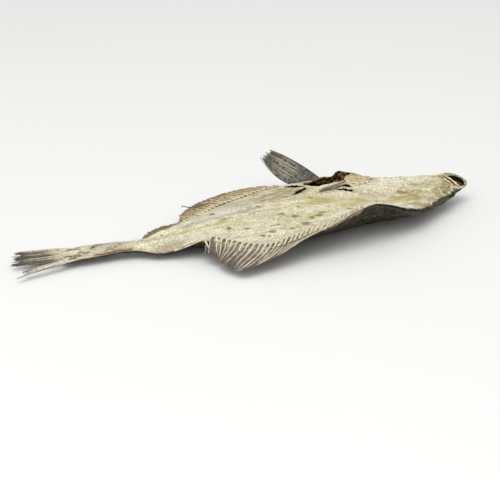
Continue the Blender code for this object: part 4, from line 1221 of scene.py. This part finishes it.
def add_dorsal_fin():
    """The fin along the near edge: spread behind, and folded under the head."""
    paths = edge_fin_paths(DORSAL_RAYS, dorsal_y, dorsal_z, dorsal_rim, -1)
    roots = ray_positions(dorsal_y, DORSAL_RAYS)
    rear, front = np.searchsorted(roots, (DORSAL_SEEN_FROM_X, DORSAL_FOLDED_FROM_X))
    x = roots[rear : front + 1]
    corner = 0.85 * (1 - smooth_step(-26, -8, x))
    bones = {"radius": 0.38, "shade": 0.6 * corner, "shade_from": 0.6}
    like_skin = 0.85 * smooth_step(6, 26, x)
    webs = {"holes": 0.02, "like_skin": like_skin, "skin": 0.2, "shade": corner, "shade_from": 0.5}
    fin_pieces("dorsal_fin", paths[rear : front + 1], "pale_bone", "membrane", 101, bones, webs)
    # The folded front is painted near black: dark as the eyed side, and darker still as painted shade under
    # the edge.
    bones = {"knob": 0, "stains": 1, "shade": 1}
    fin_pieces("dorsal_fin_front", paths[front:], "under_bone", "under_membrane", 107, bones, {"pits": 0})


def add_anal_fin():
    """The golden fin along the far edge."""
    x = ray_positions(belly_y, ANAL_RAYS)
    x = x[x < ANAL_SEEN_TO_X]
    paths = edge_fin_paths(ANAL_RAYS, belly_y, belly_z, belly_rim, 1)[: len(x)]
    rear = 0.85 * (1 - smooth_step(-42, -32, x))
    bones = {"radius": 0.36, "stains": 0.4, "shade": rear}
    webs = {"pits": 0.7, "skin": 0.45, "shade": rear, "like_skin": 0.5 * smooth_step(40, 60, x)}
    fin_pieces("anal_fin", paths, "golden_bone", "golden_membrane", 102, bones, webs)


def add_caudal_fin():
    """The tail fin in its two lobes."""
    paths = caudal_paths()
    torn = {"torn": (0.05, 0.2), "wave": 0.4, "pits": 0, "skin": 0.62, "shade_from": 0.45}
    bare = {"radius": 0.45, "shade_from": 0.4}
    bones = {**bare, "stains": 0.25, "spread": 0.26, "tip": 0.9, "shade": CAUDAL_SHADE[:CAUDAL_SPLIT]}
    webs = {**torn, "gaps": CAUDAL_GAPS, "shade": CAUDAL_SHADE[:CAUDAL_SPLIT]}
    fin_pieces("caudal_fin_upper", paths[:CAUDAL_SPLIT], "tail_bone", "tail_membrane", 103, bones, webs)
    bones = {**bare, "stains": 0.2, "shade": CAUDAL_SHADE[CAUDAL_SPLIT:]}
    webs = {**torn, "shade": CAUDAL_SHADE[CAUDAL_SPLIT:]}
    fin_pieces("caudal_fin_lower", paths[CAUDAL_SPLIT:], "cream_bone", "pale_membrane", 104, bones, webs)


def add_upright_fin():
    """The dark fin that stands up behind the gut."""
    bones = {"radius": 0.4, "spread": 0.34, "knob": 0, "stains": 0.5, "fresh": 0.3, "shade": UPRIGHT_SHADE}
    webs = {"torn": (0, 0.06), "pits": 0, "wave": 0.9}
    fin_pieces("upright_fin", fan_paths(*UPRIGHT_FIN), "upright_bone", "upright_membrane", 105, bones, webs)


def add_flat_fin():
    """The pale fin that lies flat beside the gut."""
    rows = FLAT_FIN_ROOTS, FLAT_FIN_TIPS
    ends = [[(x, y, body_over(x, y)[2] + 0.5 * FLAT_FIN_LIFT) for x, y in row] for row in rows]
    paths = fan_paths(*ends, FLAT_FIN_BOWS)
    paths = paths[:, :1] + (paths - paths[:, :1]) * np.array(FLAT_FIN_LENGTHS)[:, None, None]
    bones = {"radius": 0.24, "knob": 0, "spread": 0.3, "fray": 0.06, "stains": 0.9, "shade": FLAT_FIN_SHADE}
    webs = {"wave": 0.9, "pits": 0, "torn": (0.05, 0.3), "gaps": FLAT_FIN_GAPS, "shade": FLAT_FIN_SHADE}
    fin_pieces("flat_fin", paths, "pale_bone", "lilac_membrane", 106, bones, webs)


def add_loose_rays():
    for n, (places, thick, stain) in enumerate(LOOSE_STRANDS):
        radius = np.linspace(thick, 0.45 * thick, STRAND_STEPS)
        strand = Shape().tube(smooth_path(places, STRAND_STEPS), radius, stain=stain)
        strand.piece(f"loose_ray_{n}", bone_paint("loose_bone"))


# ---- gut

def crumpled_sheet(low, high, grid, seed, fold):
    """Points and faces of a crumpled sheet from a low path to a high one."""
    rows, columns = grid
    s, u = np.linspace(0, 1, rows)[:, None], np.linspace(0, 1, columns)[None, :]
    points = smooth_path(low, columns) * (1 - s[..., None]) + smooth_path(high, columns) * s[..., None]
    bend = fold * (rough(24 * u, 7 * s, 4, seed) + 0.5 * (creases(24 * u, 3 * s, 2, seed + 5) - 0.7))
    points = points + sheet_normals(points) * (bend * smooth_step(0, 0.2, s))[..., None]
    return points, sheet_faces(rows, columns)


def lining(name, points, share, keep):
    """A dark sheet just over the floor of a hollow, with as much painted shade as share gives, of the faces
    whose corners are all kept.
    """
    faces = np.array(sheet_faces(*keep.shape))
    faces = faces[keep.ravel()[faces].all(axis=1)]
    used, corners = np.unique(faces, return_inverse=True)
    hole = share.ravel()[used]
    sheet = Shape().add(points.reshape(-1, 3)[used], corners.reshape(-1, 4).tolist(), hole=hole)
    sheet.piece(name, flesh_paint(), LINING_THICKNESS)


def add_gut_floor():
    x, y = np.meshgrid(np.linspace(*GUT_GRID_X), np.linspace(*GUT_GRID_Y), indexing="ij")
    inward = gut_inward(x, y)
    _, under, top = body_over(x, y)
    lumps = 0.7 * np.abs(rough(x, y, 5, 37)) + 0.5 * creases(x, y, 3, 39)
    z = np.maximum(top - gut_sink(inward), under + GUT_FLOOR) + 0.8 + lumps
    # Painted shade over the gut's floor, a little lighter in one place.
    shade = 1 - 0.35 * bell(x, 88, 9) * bell(y, 46, 5)
    lining("gut_floor", np.dstack([x, y, z]), shade, (inward > 0.2) & (y < belly_y(x) - 1))


def add_mouth_floor():
    rows, columns = MOUTH_FLOOR_GRID
    out, turn_deg = np.meshgrid(np.linspace(0.05, 0.95, rows), np.linspace(0, 360, columns), indexing="ij")
    points = np.array([[mouth_point(turn, share) for turn in turn_deg[0]] for share in out[:, 0]])
    waves = 0.4 * rough(8 * out, 3 * np.sin(np.radians(turn_deg)), 2, 47)
    points[..., 2] -= MOUTH_DEPTH * np.sqrt(1 - (out / MOUTH_HOLLOW) ** 2) - 0.5 - waves
    # Painted shade on the mouth's floor, growing out towards its lips.
    lining("mouth_floor", points, smooth_step(0.4, 0.8, out), out > 0)


def add_slits():
    """The walls of the slits and of the notches in the gill cover's edge, painted black as the shade inside
    them.
    """
    shape = Shape()
    steps, columns = CUT_GRID
    share, s = np.linspace(0, 1, steps), np.linspace(-1, 1, columns)
    for n, (width, _, _, line) in enumerate(CUTS):
        path = smooth_path([(*place, 0) for place in line], steps)[:, :2]
        along = np.gradient(path, axis=0)
        across = np.stack([-along[:, 1], along[:, 0]], axis=1) / np.linalg.norm(along, axis=1, keepdims=True)
        gape = np.sqrt(np.sin(math.pi * np.clip(share, 0.02, 0.98)))
        gape = gape * (0.85 + 0.3 * noise(9 * share, 0, 1, 311 + n))
        x, y = (path[:, k : k + 1] + 0.5 * width * across[:, k : k + 1] * gape[:, None] * s for k in (0, 1))
        near, far = (on_skin(*(path + side * 1.4 * width * across).T) for side in (-1, 1))
        rise, sag = (far - near + 0.25) * gape, 0.35 * gape
        z = near[:, None] + 0.1 + rise[:, None] * smooth_step(-0.7, 1, s) - sag[:, None] * bell(s, -0.5, 0.5)
        shape.add(np.dstack([x, y, z]), sheet_faces(*x.shape), hole=1)
    shape.piece("slit_walls", flesh_paint(), LINING_THICKNESS)


def add_gut_wall():
    """The torn far wall of the gut, pale at its front end."""
    foot = [(x + 1, belly_y(x) - 2, belly_z(x)) for x, _, _ in GUT_WALL_TOP]
    points, faces = crumpled_sheet(foot, GUT_WALL_TOP, GUT_WALL_GRID, seed=52, fold=1)
    wall = Shape().add(points, faces, pale=0.9 * smooth_step(103, 108, points[..., 0]))
    wall.piece("gut_wall", flesh_paint(), GUT_WALL_THICKNESS)


def add_torn_tissue():
    """The pale tissue that has dried over the gut's front end."""
    shape = Shape()
    for n, (low, high, fold) in enumerate(TISSUE_FOLDS):
        shape.add(*crumpled_sheet(low, high, TISSUE_GRID, 60 + 7 * n, fold), pale=1)
    shape.piece("torn_tissue", flesh_paint(), TISSUE_THICKNESS)


# ---- mouth and eyes

def add_far_lip():
    share = np.linspace(0, 1, LIP_STEPS)
    path = np.array([mouth_point(turn, LIP_OUT, -0.3) for turn in np.linspace(*FAR_LIP_TURN_DEG, LIP_STEPS)])
    thick = 0.85 * np.sqrt(np.sin(math.pi * np.clip(share, 0.03, 0.97))) * (1 + 0.12 * np.sin(share * 60))
    stain = 0.55 + 0.35 * noise(share * 30, 0, 2, 91)
    lip = Shape().tube(path, thick, sides=10, flat=0.8, stain=stain)
    lip.piece("far_lip", bone_paint("lip_skin"))


def add_teeth():
    """A row of uneven teeth along the far lip."""
    shape = Shape()
    for turn in np.linspace(*TEETH_TURN_DEG, TEETH):
        foot, tip = mouth_point(turn, 1, 0.1), mouth_point(turn, 0.82, 0.3)
        size = 0.62 + 0.3 * math.sin(3.1 * turn)
        path = foot + (tip - foot) * np.linspace(0, 1, len(TOOTH_RADII))[:, None]
        shape.tube(path, size * np.array(TOOTH_RADII), sides=8, stain=0.3 - 0.3 * math.sin(1.7 * turn))
    shape.piece("teeth", bone_paint("tooth"))


def add_jaw_bones():
    """The two jaw bones that cross the near end of the mouth."""
    share = np.linspace(0, 1, JAW_STEPS)
    for n, (places, radius) in enumerate(JAW_BONES):
        path = smooth_path([mouth_point(*place) for place in places], JAW_STEPS)
        swell = 0.85 + 0.4 * noise(14 * share, 0, 1.6, 93 + n)
        stain = np.clip(0.45 + 0.6 * noise(30 * share, 0, 1.5, 97 + n), 0, 1)
        thick = radius * swell * (0.75 + 0.4 * share)
        bone = Shape().tube(path, thick, sides=12, flat=0.65, stain=stain)
        bone.piece(f"jaw_bone_{n}", bone_paint("jaw_bone"))


def eye_paint():
    p = Paint("dried_eye")
    colour = p.layers(EYE_DARK, (EYE_LIGHT, None, p.noise(1.6, 3), 0.45, 0.7), (PUPIL, "pupil"))
    return p.finish(colour, 0.3, 0.5, (p.noise(1.2, 3), 0.25))


def add_eyes():
    """The two dried eyes under the head, as sunken domes with a dull pupil."""
    paint = eye_paint()
    rings, sides = EYE_GRID
    r = np.linspace(0.02, 0.66, rings)[:, None]
    turn = np.linspace(0, 2 * math.pi, sides, endpoint=False)
    for n, ((bx, by), (rx, ry, rz)) in enumerate(HEAD_BUMPS[:2]):
        x, y = bx + rx * r * np.cos(turn), by + ry * r * np.sin(turn)
        drop = rz * (0.9 * np.sqrt(1 - (r / BUMP_SPREAD) ** 2) + 0.1 - 0.22 * bell(r, 0.42, 0.1))
        v, under, _ = body_over(x, y)
        points = np.dstack([x, y, under - drop * (1 - np.abs(v) ** 10)])
        faces = ring_faces(rings, sides) + [tuple(range(sides))]
        dome = Shape().add(points, faces, pupil=1 - smooth_step(0.25, 0.32, r + 0 * x))
        dome.piece(f"eye_{n}", paint, LINING_THICKNESS)


# ---- light, floor and camera

def add_floor():
    p = Paint("pale_floor")
    shade = p.mix(FLOOR_LIGHT, FLOOR_SHADE, p.noise(400, 1))
    far = FLOOR_HALF_M
    corners = [(x, y, -FLOOR_DROP_M) for x, y in ((-far, -far), (far, -far), (far, far), (-far, far))]
    mesh = bpy.data.meshes.new("floor")
    mesh.from_pydata(corners, [], [(0, 1, 2, 3)])
    mesh.materials.append(p.finish(shade, 0.8, 0.3, (p.noise(60, 2), 0.05)))
    floor = link("floor", mesh)


def add_light(name, place, size, watts):
    data = bpy.data.lights.new(name, "AREA")
    data.shape = "DISK"
    data.size, data.energy = size, watts
    lamp = link(name, data)
    lamp.location = place
    lamp.rotation_euler = (-Vector(place)).to_track_quat("-Z", "Y").to_euler()


def add_camera():
    data = bpy.data.cameras.new("camera")
    data.sensor_width, data.lens = SENSOR_MM, LENS_MM
    camera = link("camera", data)
    turn, down = math.radians(CAMERA_TURN_DEG), math.radians(CAMERA_DOWN_DEG)
    camera.location = (np.array(CAMERA_PLACE) - (*BOX_MIDDLE, 0)) * MM
    camera.rotation_euler = (math.pi / 2 - down, 0, -turn)
    bpy.context.scene.camera = camera


def add_studio():
    scene = bpy.context.scene
    scene.world = bpy.data.worlds.new("studio")
    scene.world.use_nodes = True
    sky = scene.world.node_tree.nodes["Background"]
    sky.inputs["Color"].default_value = (1, 1, 1, 1)
    sky.inputs["Strength"].default_value = SKY_STRENGTH
    scene.view_settings.view_transform = "Standard"
    for lamp in LAMPS:
        add_light(*lamp)


# ---- the whole fish

def main():
    add_camera()
    add_studio()
    add_floor()
    blind = skin_piece("blind_side", blind_side, ROWS_BLIND, blind_paint())
    skin_piece("eyed_side", eyed_side, ROWS_EYED, eyed_paint())
    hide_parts("flounder")
    add_dorsal_fin()
    add_anal_fin()
    add_caudal_fin()
    add_upright_fin()
    add_flat_fin()
    add_loose_rays()
    add_gut_wall()
    add_torn_tissue()
    add_slits()
    add_gut_floor()
    add_mouth_floor()
    add_far_lip()
    add_teeth()
    add_jaw_bones()
    add_eyes()


main()
